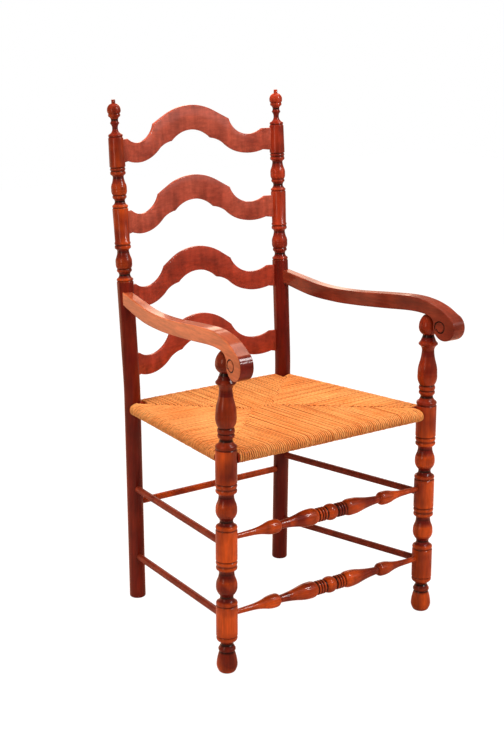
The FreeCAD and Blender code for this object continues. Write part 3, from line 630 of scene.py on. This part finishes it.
# %% Front stretchers
def stretcher_stations():
    """The whole turned stretcher, from its left end to its right end."""
    half = [(13, 12.8, 0), (15, 12.8, 0)]
    half += [(15 + 6.8 * ring, 12.8, 2.2) for ring in (1, 2, 3)]
    half += [
        (38.5, 14.5, 0), (52, 17.5, 1.0), (80, 14.4, 0.8), (129, 8.0, -1.0), (131.5, 8.0, 0),
        (134.5, 12.4, 0.7), (139, 14.1, 0.4), (147, 14.4, 0.15), (163, 12.3, 0.5), (200, 6.5, -1.2),
        (front_x / mm - 9.2, 5.2, -0.2),
    ]
    bulges = [0] + [bulge for _, _, bulge in reversed(half[1:])]
    lower = [(-run, radius, bulge) for (run, radius, _), bulge in zip(reversed(half), bulges)]
    return lower + [(half[0][0], half[0][1], 4.5)] + half[1:]


front_bar_heights = {"lower": 0.122, "upper": 0.2825}
lying_down = Matrix.Rotation(pi / 2, 3, "Y")
for name, height in front_bar_heights.items():
    bar = mark_recess(turned(stretcher_stations(), steps=48), reach=5, full=1.5)
    swing(bar, lying_down)
    shift(bar, (0, front_y, height))
    finish_piece(bar, f"turned_{name}_stretcher", rail_wood, name + "_front_stretcher")

# %% [markdown]
# The side and back stretchers are plain round bars. Each is a circle drawn out along its line.

# %% Plain stretchers
def round_bar(start, end, radius, steps=40, cuts=24):
    """A round bar between two points, in short lengths."""
    bm = bmesh.new()
    bmesh.ops.create_circle(bm, cap_ends=False, segments=steps, radius=radius)
    length = (end - start).length
    ring = list(bm.edges)
    for _ in range(cuts):
        drawn = bmesh.ops.extrude_edge_only(bm, edges=ring)["geom"]
        ring = [g for g in drawn if isinstance(g, bmesh.types.BMEdge)]
        moved = [g for g in drawn if isinstance(g, bmesh.types.BMVert)]
        bmesh.ops.translate(bm, verts=moved, vec=(0, 0, length / cuts))
        ring = [e for e in ring if all(v in moved for v in e.verts)]
    bmesh.ops.holes_fill(bm, edges=[e for e in bm.edges if e.is_boundary])
    swing(bm, (end - start).to_track_quat("Z", "Y").to_matrix())
    shift(bm, start)
    return bm


def shortened(start, end, start_stop, end_stop):
    """The two ends of a line after a little is taken off each."""
    way = (end - start).normalized()
    return start + way * start_stop, end - way * end_stop


side_bar_heights = {"lower": (0.1155, 0.098), "upper": (0.2685, 0.2575)}
side_bar_radius = 7.3 * mm
back_bar_height = 0.2235
back_bar_radius = 7.4 * mm
front_stop = 9.2 * mm
back_stop = 7.7 * mm
for side, sign in (("left", -1), ("right", 1)):
    for name, (front_height, back_height) in side_bar_heights.items():
        rear = back_axis(back_height)
        rear.x *= sign
        fore = Vector((sign * front_x, front_y, front_height))
        ends = shortened(fore, rear, front_stop, back_stop)
        finish_piece(round_bar(*ends, side_bar_radius), f"round_{name}_stretcher_{side}", side_wood,
                     f"{name}_side_stretcher_{side}")
right_end = back_axis(back_bar_height)
left_end = Vector((-right_end.x, right_end.y, right_end.z))
ends = shortened(left_end, right_end, back_stop, back_stop)
finish_piece(round_bar(*ends, back_bar_radius), "round_back_stretcher", rail_wood, "back_stretcher")

# %% [markdown]
# A slat starts as a flat outline: ears at the posts, a cove, a shoulder and a broad crown.
# The outline is cut into narrow columns so that it can bend, given its thickness, and its edges
# are rounded with a bevel. Then it is bowed backwards and leaned with the posts.

# %% Slat outline
slat_thickness = 9.0 * mm
slat_bow = 29.0 * mm
slat_forward = 1.0 * mm
slat_stop = 6.0
ear_depth = 50.5
slat_heights = {"bottom": 557.5, "lower_middle": 708.0, "upper_middle": 865.5, "top": 1016.0}
slat_shoulders = {"bottom": 83.0, "lower_middle": 88.0, "upper_middle": 94.0, "top": 98.5}


def on_circle(centre, radius, angle):
    """A point on a circle, at an angle in radians."""
    return centre + Vector((cos(angle), sin(angle))) * radius


def spots(*pairs):
    """Points from pairs of numbers."""
    return [Vector(pair) for pair in pairs]


def three_point_arc(a, b, c, count):
    """Points from a to c along the circle through b, without a."""
    ab, ac = b - a, c - a
    cross = ab.x * ac.y - ab.y * ac.x
    ux = (ac.y * ab.length_squared - ab.y * ac.length_squared) / (2 * cross)
    uy = (ab.x * ac.length_squared - ac.x * ab.length_squared) / (2 * cross)
    centre = a + Vector((ux, uy))
    radius = Vector((ux, uy)).length
    first = atan2(a.y - centre.y, a.x - centre.x)
    last = atan2(c.y - centre.y, c.x - centre.x)
    turn = (last - first) % (2 * pi)
    if cross < 0:
        turn -= 2 * pi
    return [on_circle(centre, radius, first + turn * k / count) for k in range(1, count + 1)]


def slat_outline(shoulder_half, end_half):
    """The right half of the slat's outline in millimetres, from the crown down to the arch."""
    shoulder = Vector((shoulder_half, 26.0))
    radius = shoulder_half * 1.33
    centre = Vector((0, 60.7 - radius))
    reach = shoulder - centre
    lean = atan2(reach.x, reach.y) - acos(radius / reach.length)
    crown = [centre + Vector((sin(lean * k / 12), cos(lean * k / 12))) * radius
             for k in range(13)]
    cove, ear, notch, belly = spots((147, -10.7), (177, 0), (177, -46.9), (145, -52.7))
    hip, flank, cusp = spots((84, -26.4), (68, -17.6), (52, -13.6))
    arch, far_cusp = spots((0, 7.5), (-52, -13.6))
    points = crown + [shoulder] + three_point_arc(shoulder, cove, ear, 16)
    points += spots((end_half, 0), (end_half, -ear_depth)) + [notch]
    points += three_point_arc(notch, belly, hip, 14)
    points += three_point_arc(hip, flank, cusp, 6)
    points += three_point_arc(cusp, arch, far_cusp, 16)[:8]
    return points


def slat_board(shoulder_half, end_half):
    """The flat slat, cut into columns, with its thickness and rounded edges."""
    bm = bmesh.new()
    right = slat_outline(shoulder_half, end_half)
    left = [Vector((-p.x, p.y)) for p in reversed(right[1:-1])]
    verts = [bm.verts.new((p.x * mm, 0, p.y * mm)) for p in right + left]
    bm.faces.new(verts)
    for column in range(-24, 25):
        everything = bm.verts[:] + bm.edges[:] + bm.faces[:]
        bmesh.ops.bisect_plane(bm, geom=everything, plane_co=(column * 8 * mm, 0, 0),
                               plane_no=(1, 0, 0))
    weld(bm, 0.9 * mm)
    draw_out(bm, (0, slat_thickness, 0))
    rims = [e for e in bm.edges
            if len(e.link_faces) == 2 and e.calc_face_angle(0) > 1.2
            and abs(e.verts[0].co.y - e.verts[1].co.y) < 0.0001]
    round_edges(bm, rims, 1.5 * mm, 3)
    return bm


# %% Slats
def place_slat(bm, ear_height, shoulder_half):
    """Bow a slat backwards and lean it with the posts."""
    post = back_axis(ear_height * mm)
    for v in bm.verts:
        share = min(abs(v.co.x) / shoulder_half, 1)
        v.co.y += slat_bow * (1 - share ** 3) - slat_forward
    swing(bm, Matrix.Rotation(-rake, 3, "X"))
    shift(bm, (0, post.y, post.z))


for name, ear_height in slat_heights.items():
    post_x = back_axis((ear_height - ear_depth / 2) * mm).x
    board = slat_board(slat_shoulders[name], post_x / mm - slat_stop)
    place_slat(board, ear_height, post_x - turned_radius * mm)
    wood = shaded_low_slat_wood if name in ("bottom", "lower_middle") else slat_wood
    finish_piece(board, f"bowed_{name}_slat", wood, name + "_slat")

# %% [markdown]
# An arm is a bar that dips, rises and rolls over in a scroll. Its side outline is a smooth line
# through a few points, closed by the scroll's round. It is drawn out to a width that narrows
# towards the back post, its edges are rounded, and a curling groove is cut into both side faces.

# %% Arm outline
arm_end_height = 682.5
arm_end_x = back_axis(arm_end_height * mm).x + 3.0 * mm
arm_end_y = back_axis(arm_end_height * mm).y


def smooth_line(points, steps=8):
    """A smooth line through points, without the first one."""
    line = []
    padded = [points[0], *points, points[-1]]
    for a, b, c, d in zip(padded, padded[1:], padded[2:], padded[3:]):
        for s in range(1, steps + 1):
            t = s / steps
            spot = b * 2 + (c - a) * t + (a * 2 - b * 5 + c * 4 - d) * t * t
            spot = (spot + (b * 3 - a - c * 3 + d) * t ** 3) / 2
            line.append(spot)
    return line


rear = 431.0
end_top = arm_end_height + 14.5
scroll_reach = 53.5
dip = end_top - 17.0
crown = dip + 18.0
scroll_centre = Vector((-scroll_reach, crown - 52.2))
scroll_radius = 28.6


def on_scroll(angle):
    """A point on the scroll's round, at an angle in degrees from the back post's direction."""
    return on_circle(scroll_centre, scroll_radius, radians(angle))


top_points = spots(
    (rear + 8, end_top + 1.5), (rear * 0.88, end_top - 7), (rear * 0.74, dip + 1.9),
    (rear * 0.62, dip), (rear * 0.46, dip + 3.4), (rear * 0.27, dip + 12), (rear * 0.1, crown),
    (-4, crown - 3), (-38, crown - 12.4), on_scroll(108), on_scroll(125),
)
under_points = spots(
    on_scroll(14), (-16, crown - 35.1), (5, crown - 30.9), (rear * 0.1, crown - 31.1),
    (rear * 0.27, dip - 20.3), (rear * 0.46, dip - 27.2), (rear * 0.62, dip - 30.2),
    (rear * 0.8, dip - 27), (rear + 8, end_top - 26.5),
)
outline = [top_points[0]] + smooth_line(top_points)
outline += [on_scroll(angle) for angle in range(133, 370, 8)]
outline += [under_points[0]] + smooth_line(under_points)
print("arm outline has", len(outline), "points")

# %% Arms
arm_middle_slope = (front_x - arm_end_x) / (arm_end_y - front_y)


def arm_centre(y):
    """The middle of the arm's width at a distance behind the front post."""
    return front_x - arm_middle_slope * y


arm_front_run = -(scroll_reach + 42.0) * mm
arm_rear_run = arm_end_y - front_y


def arm_half_width(y):
    """Half the arm's width: 33 mm before the scroll and 21 mm at the back post."""
    share = (y - arm_front_run) / (arm_rear_run - arm_front_run)
    return (16.4 - 5.9 * share) * mm


def arm_bar():
    """The right arm as a bmesh."""
    bm = bmesh.new()
    verts = [bm.verts.new((-1.0, p.x * mm, p.y * mm)) for p in outline]
    bm.faces.new(verts)
    draw_out(bm, (2.0, 0, 0))
    for v in bm.verts:
        v.co.x = arm_centre(v.co.y) + v.co.x * arm_half_width(v.co.y)
    rims = [e for e in bm.edges
            if len(e.link_faces) == 2 and any(len(f.verts) > 50 for f in e.link_faces)
            and e.calc_length() < 0.06]
    round_edges(bm, rims, 4.0 * mm, 5, clamp=True)
    shift(bm, (0, front_y, 0))
    return bm


volute_radius = 13.0
groove_radius = 1.8 * mm
eye = scroll_centre + Vector((volute_radius * 0.77, -volute_radius * 0.15))


def volute_points(side):
    """The curling line round the scroll's eye on one side face, from the cusp inwards."""
    points = []
    for angle in range(-36, 342, 6):
        reach = volute_radius * (1 - 0.32 * max(angle - 150, 0) / 190)
        spot = on_circle(eye, reach, radians(angle)) * mm
        x = arm_centre(spot.x) + side * arm_half_width(spot.x)
        points.append(Vector((x, spot.x + front_y, spot.y)))
    return points


def cut_volutes(bm, paths):
    """Cut the curling groove into both side faces."""
    data = line_curve("volute_cutter")
    data.bevel_depth = groove_radius
    data.bevel_resolution = 3
    for points in paths:
        add_line(data, points)
    cutter = in_scene("volute_cutter", data)
    body_mesh = bpy.data.meshes.new("arm_body")
    bm.to_mesh(body_mesh)
    body = in_scene("arm_body", body_mesh)
    solid_cutter = in_scene("volute_cutter_solid", evaluated_mesh(cutter))
    cut = body.modifiers.new("volutes", "BOOLEAN")
    cut.object = solid_cutter
    cut.operation = "DIFFERENCE"
    cut.solver = "EXACT"
    result = bmesh.new()
    result.from_mesh(evaluated_mesh(body))
    for made in (cutter, body, solid_cutter):
        bpy.data.objects.remove(made)
    print("the scroll's groove adds", len(result.verts) - len(bm.verts), "points")
    bm.free()
    return result


painted_light_edge = 3.4 * mm
painted_light_begins, painted_light_full = 0.72, 0.94


def mark_arm(bm, paths, is_painted_light):
    """Store the groove as a recess.

    On the left arm, store painted light on the side faces and on the top's rounded edges where
    they face up, and painted shade on the rest.
    """
    recess, painted_shade = [bm.verts.layers.float.new(n) for n in ("recess", "painted_shade")]
    painted_light = bm.loops.layers.float.new("painted_light")
    bm.normal_update()
    for v in bm.verts:
        near = min((v.co - spot).length for points in paths for spot in points)
        run = v.co.y - front_y
        depth = arm_half_width(run) - abs(v.co.x - arm_centre(run))
        v[painted_shade] = 1.0 if is_painted_light else 0.0
        v[recess] = 1.0 if depth > groove_radius * 0.4 and near < groove_radius * 1.2 else 0.0
        # Painted light: on the left arm, the top's edges that turn up towards the lamps above are
        # drawn lighter.
        upward = v.normal.z / max(hypot(v.normal.y, v.normal.z), 0.001)
        top_painted_light = min(1.0, max(0.0, (upward - painted_light_begins) / (painted_light_full - painted_light_begins)))
        for corner in v.link_loops:
            faces_side = abs(corner.face.normal.x) > 0.7
            painted_light_share = max(0, 1 - depth / painted_light_edge) * (1.0 if faces_side else top_painted_light)
            corner[painted_light] = painted_light_share if is_painted_light else 0.0
    return bm


groove_paths = [volute_points(side) for side in (-1, 1)]
for side in ("right", "left"):
    bar = mark_arm(cut_volutes(arm_bar(), groove_paths), groove_paths, side == "left")
    if side == "left":
        mirror(bar)
    wood = arm_wood if side == "right" else painted_light_wood
    arm = finish_piece(bar, "scrolled_arm_" + side, wood, "arm_" + side)
    arm.modifiers.new("flat faces", "WEIGHTED_NORMAL").keep_sharp = True

# %% [markdown]
# The rush is a twisted cord about 4.8 mm thick. Every course of it wraps one rail, runs to the
# diagonal where two panels meet, above and below the stuffing, and turns there to the next rail.
# Each visible course is one line of a curve object with a six-sided section. There are hundreds
# of them, so each has few faces, and the twist of the cord's two strands is left to the material.

# %% Cord section
pitch = 4.8 * mm
cord_radius = 2.4 * mm
random.seed(7)
section_sides = 6
cord_tightness = 0.92
section_data = line_curve("cord_section", "2D")
corner_angles = [2 * pi * (k + 0.5) / section_sides for k in range(section_sides)]
add_line(section_data, [(cos(a), sin(a), 0) for a in corner_angles]).use_cyclic_u = True
section = bpy.data.objects.new("cord_section", section_data)
section.scale = (cord_radius * cord_tightness,) * 3
print("the cord's section has", section_sides, "sides")

# %% [markdown]
# The seat is widest at the front. Its four rails lie in one plane that falls towards the back.
# The diagonals leave the corners at 45 degrees and end at a short bridge in the middle.

# %% Seat layout
rail_front = 0.448
rail_back = 0.4415
seat_depth = 0.431 - kick
tip_half = 0.026
tip_run = 0.234
roll_half_width = 18.0 * mm
roll_half_height = 14.0 * mm
dish = 4.0 * mm


def rail_plane(run):
    """The height of the rails' middle at a distance behind the front rail."""
    return rail_front - (rail_front - rail_back) * run / seat_depth


def side_rail(run):
    """Half the distance between the side rails at a distance behind the front rail."""
    return front_x + (back_axis(rail_back).x - front_x) * run / seat_depth


front_corner_half, front_corner_run = front_x - 0.022, 0.021
back_corner_half, back_corner_run = 0.182, 0.390


def seam_reach(panel, place):
    """How far a course reaches in from its rail before it meets the diagonal."""
    if panel == "front":
        return min(tip_run, front_corner_run + front_corner_half - abs(place))
    if panel == "back":
        corner_reach = seat_depth - back_corner_run + back_corner_half
        return min(seat_depth - tip_run, corner_reach - abs(place))
    if place < tip_run:
        inner = front_corner_half - (place - front_corner_run)
    else:
        inner = back_corner_half - (back_corner_run - place)
    return side_rail(place) - max(inner, tip_half)


def course_path(reach, depth_at_seam):
    """One course as (distance in from the rail, height above the rails' plane) points."""
    lift = roll_half_height - cord_radius
    swell = roll_half_width - cord_radius
    top = []
    for inset in (reach, reach - 2.5 * mm, reach - 6 * mm, reach / 2):
        sink = dish * min(max(inset, 0) / tip_run, 1) ** 0.8
        dive = depth_at_seam * max(0, 1 - (reach - inset) / (6 * mm)) ** 1.5
        if not top or inset < top[-1][0] - 0.5 * mm:
            top.append((inset, lift - sink - dive))
    turns = 7
    arc = []
    for k in range(turns + 1):
        angle = pi / 2 + pi * k / turns
        arc.append((swell * cos(angle), lift * sin(angle)))
    bottom = [(inset, -height) for inset, height in reversed(top) if inset > reach / 2 + mm]
    return top + arc + bottom


print("the front course in the middle reaches", round(seam_reach("front", 0.0), 3), "m")

# %% Weaving a panel
hug_reach = 40 * mm
close_press = 0.35
shortest_course = 2.5 * mm


def hug(panel, place, inset, first, last, radii):
    """How far a course bends round the post at its end of the rail, so that no gap shows there."""
    from_first, from_last = place - first, last - place
    side, distance, radius = (-1, from_first, radii[0])
    if from_last < from_first:
        side, distance, radius = (1, from_last, radii[1])
    offset = min(abs(inset), roll_half_width)
    room = radius - sqrt(radius ** 2 - offset ** 2) if abs(inset) < radius else 0
    press = close_press if side > 0 and panel in ("front", "left") else 1.0
    return side * press * room * max(0, 1 - distance / hug_reach) ** 1.5


def wrapped_run(panel, spot):
    """How far a point lies along its course, counted round the rail from where the roll begins."""
    if panel == "front":
        inset, level = spot.y - front_y, rail_plane(0)
    elif panel == "back":
        inset, level = front_y + seat_depth - spot.y, rail_plane(seat_depth)
    else:
        inset, level = side_rail(spot.y - front_y) - abs(spot.x), rail_plane(spot.y - front_y)
    if inset > 0:
        return inset
    return -atan2(-inset, spot.z - level) * roll_half_height


def weave(panel, first, last, radii, place_point):
    """All the courses of one panel as one mesh. The front left seam is the tightest."""
    data = line_curve("courses_" + panel)
    data.twist_mode = "MINIMUM"
    data.bevel_mode = "OBJECT"
    data.bevel_object = section
    count = round((last - first) / pitch)
    spacing = (last - first) / count
    for k in range(count):
        place = first + spacing * (k + 0.5)
        reach = seam_reach(panel, place)
        if reach < shortest_course:
            continue
        tight = place < 0 if panel == "front" else panel == "left" and place < tip_run
        over, dive = (3.0 * mm, 1.8 * mm) if tight else (0.9 * mm, 4.0 * mm)
        stagger = 1.4 * mm if k % 2 else -1.4 * mm
        path = course_path(reach + stagger + over + random.uniform(-2.2, 1.6) * mm, dive)
        drift = random.uniform(-0.6, 0.6) * mm
        near = random.uniform(-0.3, 0.3) * mm
        lift = random.uniform(-0.5, 0.2) * mm
        size = random.uniform(0.88, 1.04)
        points = []
        for inset, height in path:
            sideways = near + drift * max(inset, 0) / reach
            sideways += hug(panel, place, inset, first, last, radii)
            bulge = lift if height > 0 else -lift
            points.append(place_point(place + sideways, inset, height + bulge))
        add_line(data, points, size)
    holder = in_scene("courses_" + panel, data)
    mesh = evaluated_mesh(holder)
    bpy.data.objects.remove(holder)
    bm = bmesh.new()
    bm.from_mesh(mesh)
    across, run, tone = [bm.verts.layers.float.new(n) for n in ("across", "run", "tone")]
    tones = [random.random() for _ in range(count)]
    for v in bm.verts:
        along = v.co.x if panel in ("front", "back") else v.co.y - front_y
        course = (along - first) / spacing
        number = min(max(int(course), 0), count - 1)
        v[across] = (course - number - 0.5) * 2
        v[tone] = tones[number]
        v[run] = wrapped_run(panel, v.co) + 0.02 * tones[number]
    return bm


# %% [markdown]
# Rush is straw coloured under an orange stain. Each course has its own tone. The two strands of
# the cord get fine diagonal lines of painted shadow, and each course darkens to a reddish painted
# shade at its sides, towards the gaps between courses.
# The twist follows two values stored on the courses: how far a point lies along and across one.

# %% Rush material
straw, straw_in, straw_out = group(
    "twisted_straw",
    [("Across the courses", VECTOR), ("Pale", COLOR), ("Dark", COLOR), ("Across", FLOAT),
     ("Run", FLOAT), ("Tone", FLOAT)],
    [("Color", COLOR), ("Height", FLOAT)],
)
painted_gap_shade = (0.30, 0.06, 0.02, 1.0)
twist_per_metre = 2 * pi / 0.0105
course_tone = noise(straw, straw_in["Across the courses"], 240.0, 3.0, 0.6)
fibre = noise(straw, straw_in["Across the courses"], 900.0, 2.0, 0.6)
patch_tone = noise(straw, node(straw, "TexCoord").outputs["Object"], 9.0, 3.0)
tone_sum = worked(straw, "ADD", course_tone, patch_tone)
tone_own = worked(straw, "MULTIPLY_ADD", straw_in["Tone"], 0.3, tone_sum)
tone_share = ranged(straw, tone_own, 0.7, 1.6)
stained = mixed(straw, tone_share, straw_in["Dark"], straw_in["Pale"])
streaked = scaled(straw, stained, ranged(straw, fibre, 0.3, 0.7, 0.82, 1.08))
from_middle = worked(straw, "ABSOLUTE", straw_in["Across"])
# Painted shade: the sides of each course, towards the gaps, are darkened to a reddish brown.
shadowed = mixed(straw, ranged(straw, from_middle, 0.42, 0.92), streaked, painted_gap_shade, "MULTIPLY")
twist_lean = worked(straw, "MULTIPLY", straw_in["Across"], 1.9)
twist_angle = worked(straw, "MULTIPLY_ADD", straw_in["Run"], twist_per_metre, twist_lean)
twist = worked(straw, "SINE", twist_angle)
# Painted shadow along the twist of the cord's two strands.
twisted = scaled(straw, shadowed, ranged(straw, twist, -1.0, -0.2, 0.78, 1.0))
straw.links.new(twisted, straw_out["Color"])
straw.links.new(worked(straw, "MULTIPLY_ADD", twist, 0.5, fibre), straw_out["Height"])
pale_straw = (1.0, 0.44, 0.13, 1.0)
dark_straw = (0.80, 0.20, 0.035, 1.0)


def rush(name, stretch):
    """A twisted cord material for courses that run where stretch is smallest."""
    material, tree = blank_material(name)
    place = node(tree, "TexCoord").outputs["Object"]
    across, run, tone = stored(tree, "across", "run", "tone")
    look = node(tree, "Group", {"node_tree": straw},
                Across_the_courses=stretched(tree, place, stretch), Pale=pale_straw,
                Dark=dark_straw, Across=across, Run=run, Tone=tone).outputs
    surfaced(tree, look, 0.35, 0.0006, Roughness=0.6, Specular_IOR_Level=0.1)
    return material


rush_lengthwise = rush("rush_lengthwise", (1.0, 0.12, 0.12))
rush_crosswise = rush("rush_crosswise", (0.12, 1.0, 0.12))
print("straw group has", len(straw.nodes), "nodes")

# %% Rush panels
def front_point(place, inset, height):
    """A point of a front course. Place is the distance along its rail, inset the distance in."""
    return Vector((place, front_y + inset, rail_plane(max(inset, 0)) + height))


def back_point(place, inset, height):
    """A point of a back course."""
    run = seat_depth - inset
    return Vector((place, front_y + run, rail_plane(min(run, seat_depth)) + height))


def side_point(sign):
    """The rule that places a point of a course on one side."""
    def point(place, inset, height):
        return Vector((sign * (side_rail(place) - inset), front_y + place, rail_plane(place) + height))
    return point


post_clearance = 0.3 * mm
front_gap, back_gap = front_radius * mm + post_clearance, leg_radius * mm + post_clearance
front_edge = front_x - front_gap
back_edge = back_axis(rail_back).x - back_gap
side_front, side_back = front_gap, seat_depth - back_gap
panels = [
    ("front", -front_edge, front_edge, (front_gap, front_gap), front_point, rush_lengthwise),
    ("back", -back_edge, back_edge, (back_gap, back_gap), back_point, rush_lengthwise),
    ("left", side_front, side_back, (front_gap, back_gap), side_point(-1), rush_crosswise),
    ("right", side_front, side_back, (front_gap, back_gap), side_point(1), rush_crosswise),
]
for panel, first, last, radii, place_point, material in panels:
    courses = weave(panel, first, last, radii, place_point)
    finish_piece(courses, f"rush_{panel}_courses", material, "rush_seat", slot="rush")

# %% [markdown]
# The packing between the layers and the rails inside the rolls stay as they are.
# They only show as dark straw and dark wood in the gaps between courses.

# %% Hidden pieces
packing = bpy.data.materials.new("packing")
packing.use_nodes = True
packing_shader = packing.node_tree.nodes["Principled BSDF"]
packing_shader.inputs["Base Color"].default_value = (0.10, 0.035, 0.012, 1.0)
packing_shader.inputs["Roughness"].default_value = 0.9
for name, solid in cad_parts.items():
    if solid.hide_render:
        continue
    solid.data.materials.clear()
    solid.data.materials.append(packing if name == "seat_stuffing" else rail_wood)
    print("kept as it is:", name)

# %% [markdown]
# The chair stands on a plain pale floor that runs out of the picture.
# Only the camera's own rays see it nearly white, so the wood gets a natural bounce from a grey
# floor, and the varnish mirrors a warm room instead of a white one.

# %% Floor and world
warm_room = (1.0, 0.48, 0.32, 1.0)
plain_white = (1.0, 1.0, 1.0, 1.0)
grey_paper = (0.6, 0.6, 0.6, 1.0)
dark_paper = (0.16, 0.16, 0.16, 1.0)
floor_mesh = bpy.data.meshes.new("floor")
floor_mesh.from_pydata([(-6, -6, 0), (6, -6, 0), (6, 6, 0), (-6, 6, 0)], [], [(0, 1, 2, 3)])
floor = in_scene("floor", floor_mesh)
paper, paper_tree = blank_material("paper")
rays = node(paper_tree, "LightPath").outputs
bounced = node(paper_tree, "BsdfDiffuse",
               Color=mixed(paper_tree, rays["Is Glossy Ray"], grey_paper, warm_room))
shaded = node(paper_tree, "BsdfDiffuse", Color=dark_paper)
white = node(paper_tree, "Emission", Color=plain_white, Strength=0.96)
seen = node(paper_tree, "AddShader", _0=shaded.outputs["BSDF"],
            _1=white.outputs["Emission"])
shown = node(paper_tree, "MixShader", _0=rays["Is Camera Ray"],
             _1=bounced.outputs["BSDF"], _2=seen.outputs["Shader"])
node(paper_tree, "OutputMaterial", Surface=shown.outputs["Shader"])
floor_mesh.materials.append(paper)

world = bpy.data.worlds.new("studio")
bpy.context.scene.world = world
world.use_nodes = True
sky = world.node_tree
sky.nodes.clear()
sky_rays = node(sky, "LightPath").outputs
sky_level = ranged(sky, sky_rays["Is Camera Ray"], 0.0, 1.0, 0.34, 1.0)
sky_boost = ranged(sky, sky_rays["Is Glossy Ray"], 0.0, 1.0, 1.0, 2.0)
sky_shade = node(sky, "Background",
                 Color=mixed(sky, sky_rays["Is Glossy Ray"], plain_white, warm_room),
                 Strength=worked(sky, "MULTIPLY", sky_level, sky_boost))
node(sky, "OutputWorld", Surface=sky_shade.outputs["Background"])
print("floor and world ready")

# %% [markdown]
# The photograph was lit by large soft lamps, and small bright ones show in the varnish.
# So the lamps come in two kinds: the matt ones light the pieces and aren't mirrored, and the gloss
# ones are only mirrored. Each is an area light that points at the middle of the chair.

# %% Lamps
def lamp(name, place, size, power, seen_by, tint=(1.0, 1.0, 1.0)):
    """A rectangular soft lamp that lights the pieces (matt) or is mirrored in them (gloss)."""
    data = bpy.data.lights.new(name, "AREA")
    data.shape = "RECTANGLE"
    data.size, data.size_y = size
    data.energy = power
    data.color = tint
    made = aimed(in_scene(name, data), place, chair_middle - Vector(place))
    made.visible_camera = False
    made.visible_diffuse = seen_by == "matt"
    made.visible_glossy = seen_by == "gloss"


chair_middle = Vector((0, 0, 0.6))
lamp("overhead", (-0.3, 0.3, 2.6), (1.6, 1.2), 55, "matt")
lamp("key", (-1.8, 0.0, 1.75), (0.6, 0.9), 12, "matt")
lamp("front", (0.2, -2.7, 2.0), (1.4, 1.8), 40, "matt")
lamp("right", (1.9, -1.4, 1.0), (0.8, 1.2), 13, "matt")
lamp("behind", (-1.5, 2.1, 0.25), (2.0, 1.0), 12, "gloss", (1.0, 0.58, 0.34))
lamp("back right", (1.3, 1.9, 1.35), (1.2, 0.8), 9, "gloss", (1.0, 0.75, 0.58))
lamp("glint", (0.91, -1.21, 2.11), (0.4, 0.45), 24, "gloss")
lamp("rim", (1.1, 0.3, 2.6), (0.9, 0.9), 14, "gloss", (1.0, 0.85, 0.75))
lamp("spark", (0.87, -1.85, 1.65), (0.3, 0.2), 11, "gloss")
lamp("strip", (-2.3, -0.6, 1.1), (0.6, 1.1), 11, "gloss", (1.0, 0.72, 0.55))
lamp("sheen", (1.45, -1.75, 1.45), (1.0, 0.5), 3.5, "gloss")
bpy.context.scene.view_settings.view_transform = "Standard"
print("lamps:", len(bpy.data.lights))
